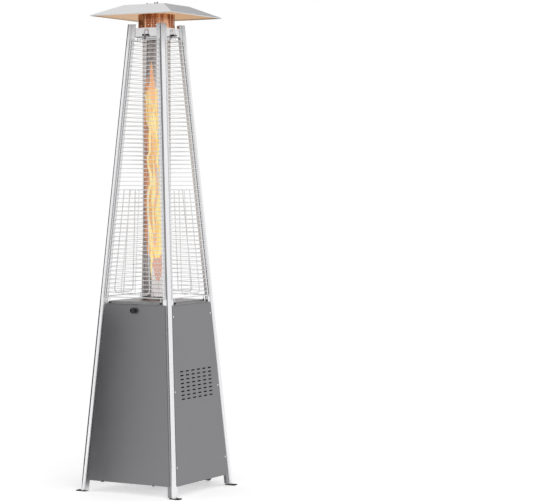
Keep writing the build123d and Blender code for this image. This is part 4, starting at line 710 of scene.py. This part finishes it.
def flame_ring(points, z, depth, seed):
    """One ring of a tongue: its vertices at a height, swayed and rippled."""
    right = (math.cos(CAMERA_AZIMUTH), math.sin(CAMERA_AZIMUTH))
    across, size = between(points, z)
    across += SWAY * noise.noise(Vector((seed * SWAY_SEED_STEP, z * SWAY_SCALE, 1.0)))
    size *= 1 + SWELL_SHARE * noise.noise(Vector((seed, z * SWELL_SCALE, 0.0)))
    middle = Vector((across * right[0] + depth * right[1], across * right[1] - depth * right[0], z))
    ring = []
    for side in range(FLAME_SIDES):
        angle = 2 * math.pi * side / FLAME_SIDES
        x = math.cos(angle)
        y = math.sin(angle)
        place = Vector((x * RIPPLE_ROUND_CELLS, y * RIPPLE_ROUND_CELLS, z * RIPPLE_SCALE + seed))
        reach = max(THINNEST_REACH, size * (1 + RIPPLE_SHARE * noise.noise(place)))
        ring.append(middle + Vector((reach * x, reach * y, 0.0)))
    return ring


def tongue(name, material, depth, seed, points):
    """One flame tongue: a closed column that follows listed heights, places across and half widths."""
    low = points[0][0]
    height = points[-1][0] - low
    vertices = []
    for ring in range(FLAME_RINGS + 1):
        vertices += flame_ring(points, low + height * ring / FLAME_RINGS, depth, seed)
    faces = []
    for ring in range(FLAME_RINGS):
        for side in range(FLAME_SIDES):
            here = ring * FLAME_SIDES
            above = here + FLAME_SIDES
            after = (side + 1) % FLAME_SIDES
            faces.append((here + side, here + after, above + after, above + side))
    faces.append(tuple(reversed(range(FLAME_SIDES))))
    faces.append(tuple(range(FLAME_RINGS * FLAME_SIDES, (FLAME_RINGS + 1) * FLAME_SIDES)))
    mesh = bpy.data.meshes.new(name)
    mesh.from_pydata(vertices, [], faces)
    mesh.update()
    for polygon in mesh.polygons:
        polygon.use_smooth = True
    piece = bpy.data.objects.new(name, mesh)
    bpy.context.collection.objects.link(piece)
    mesh.materials.append(material)
    piece.visible_glossy = False
    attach(piece, "heater")


def flame():
    """The flame: an orange body, golden and pale strands on it, a pale crown and an orange tip."""
    glows = {key: flame_material("flame_" + key, *values) for key, values in FLAME_GLOWS.items()}
    for name, glow, depth, seed, points in FLAME_TONGUES:
        tongue(name, glows[glow], depth, seed, points)


def area_lamp(name, place, target, size, power):
    """Soft square lamp aimed at a point."""
    data = bpy.data.lights.new(name, "AREA")
    data.energy = power
    data.size = size
    lamp = bpy.data.objects.new(name, data)
    lamp.location = place
    lamp.rotation_euler = (Vector(target) - Vector(place)).to_track_quat("-Z", "Y").to_euler()
    lamp.visible_camera = False
    lamp.visible_glossy = False
    bpy.context.collection.objects.link(lamp)


def background_rays(nodes, links):
    """1 for rays that should see the white background, and 0 for the light on surfaces."""
    path = nodes.new("ShaderNodeLightPath")
    total = path.outputs["Is Camera Ray"]
    for name in ("Is Glossy Ray", "Is Transmission Ray"):
        add = nodes.new("ShaderNodeMath")
        add.operation = "MAXIMUM"
        links.new(total, add.inputs[0])
        links.new(path.outputs[name], add.inputs[1])
        total = add.outputs[0]
    return total


def flag(name, middle, width, height, turn, color):
    """Upright card, dark or pale, that shows only in the object's shine."""
    upright = (math.radians(90), 0, math.radians(turn))
    bpy.ops.mesh.primitive_plane_add(size=1, location=middle, rotation=upright)
    card = bpy.context.object
    card.name = name
    card.scale = (width, height, 1)
    graph = Graph(name)
    graph.set(Base_Color=color, Roughness=FLAG_ROUGHNESS, Specular_IOR_Level=0.0)
    card.data.materials.append(graph.material)
    card.visible_camera = False
    card.visible_diffuse = False
    card.visible_shadow = False
    card.visible_transmission = False


def white_floor():
    """White floor that keeps the object's shadow, lifted towards white where it is seen."""
    bpy.ops.mesh.primitive_plane_add(size=FLOOR_SIZE)
    floor = bpy.context.object
    floor.name = "studio_floor"
    graph = Graph("studio_floor")
    seen = background_rays(graph.nodes, graph.links)
    graph.set(Base_Color=FLOOR_COLOR, Roughness=FLOOR_ROUGHNESS, Specular_IOR_Level=0.0)
    graph.set(Emission_Color=WHITE, Emission_Strength=graph.span(seen, FULL, (0.0, FLOOR_LIFT)))
    floor.data.materials.append(graph.material)


def surroundings():
    """White world: full white where it is seen, and weaker as light."""
    world = bpy.data.worlds.new("studio")
    world.use_nodes = True
    bpy.context.scene.world = world
    nodes = world.node_tree.nodes
    links = world.node_tree.links
    background = nodes["Background"]
    background.inputs["Color"].default_value = (*WHITE, 1)
    strength = nodes.new("ShaderNodeMapRange")
    strength.inputs["To Min"].default_value = WORLD_STRENGTH
    strength.inputs["To Max"].default_value = WORLD_SEEN_STRENGTH
    links.new(background_rays(nodes, links), strength.inputs["Value"])
    links.new(strength.outputs["Result"], background.inputs["Strength"])


def studio():
    """White floor and surroundings, a soft lamp, and cards that give the metal its edges."""
    white_floor()
    surroundings()
    area_lamp("key", KEY_PLACE, KEY_TARGET, KEY_SIZE, KEY_POWER)
    for values in FLAGS:
        flag(*values)


def camera():
    """Camera in the place found from the photo's outlines."""
    forward = Vector((-math.sin(CAMERA_AZIMUTH), math.cos(CAMERA_AZIMUTH), 0))
    right = Vector((math.cos(CAMERA_AZIMUTH), math.sin(CAMERA_AZIMUTH), 0))
    turned = forward * math.cos(CAMERA_YAW) + right * math.sin(CAMERA_YAW)
    look = turned * math.cos(CAMERA_PITCH) + Vector((0, 0, math.sin(CAMERA_PITCH)))
    data = bpy.data.cameras.new("camera")
    data.sensor_width = SENSOR_WIDTH
    data.lens = CAMERA_LENS
    data.clip_end = CAMERA_CLIP_END
    view = bpy.data.objects.new("camera", data)
    view.location = -forward * CAMERA_DISTANCE + Vector((0, 0, CAMERA_HEIGHT))
    view.rotation_euler = look.to_track_quat("-Z", "Y").to_euler()
    bpy.context.collection.objects.link(view)
    bpy.context.scene.camera = view


paint_nodes()
flame()
studio()
camera()
bpy.context.scene.view_settings.view_transform = "Standard"
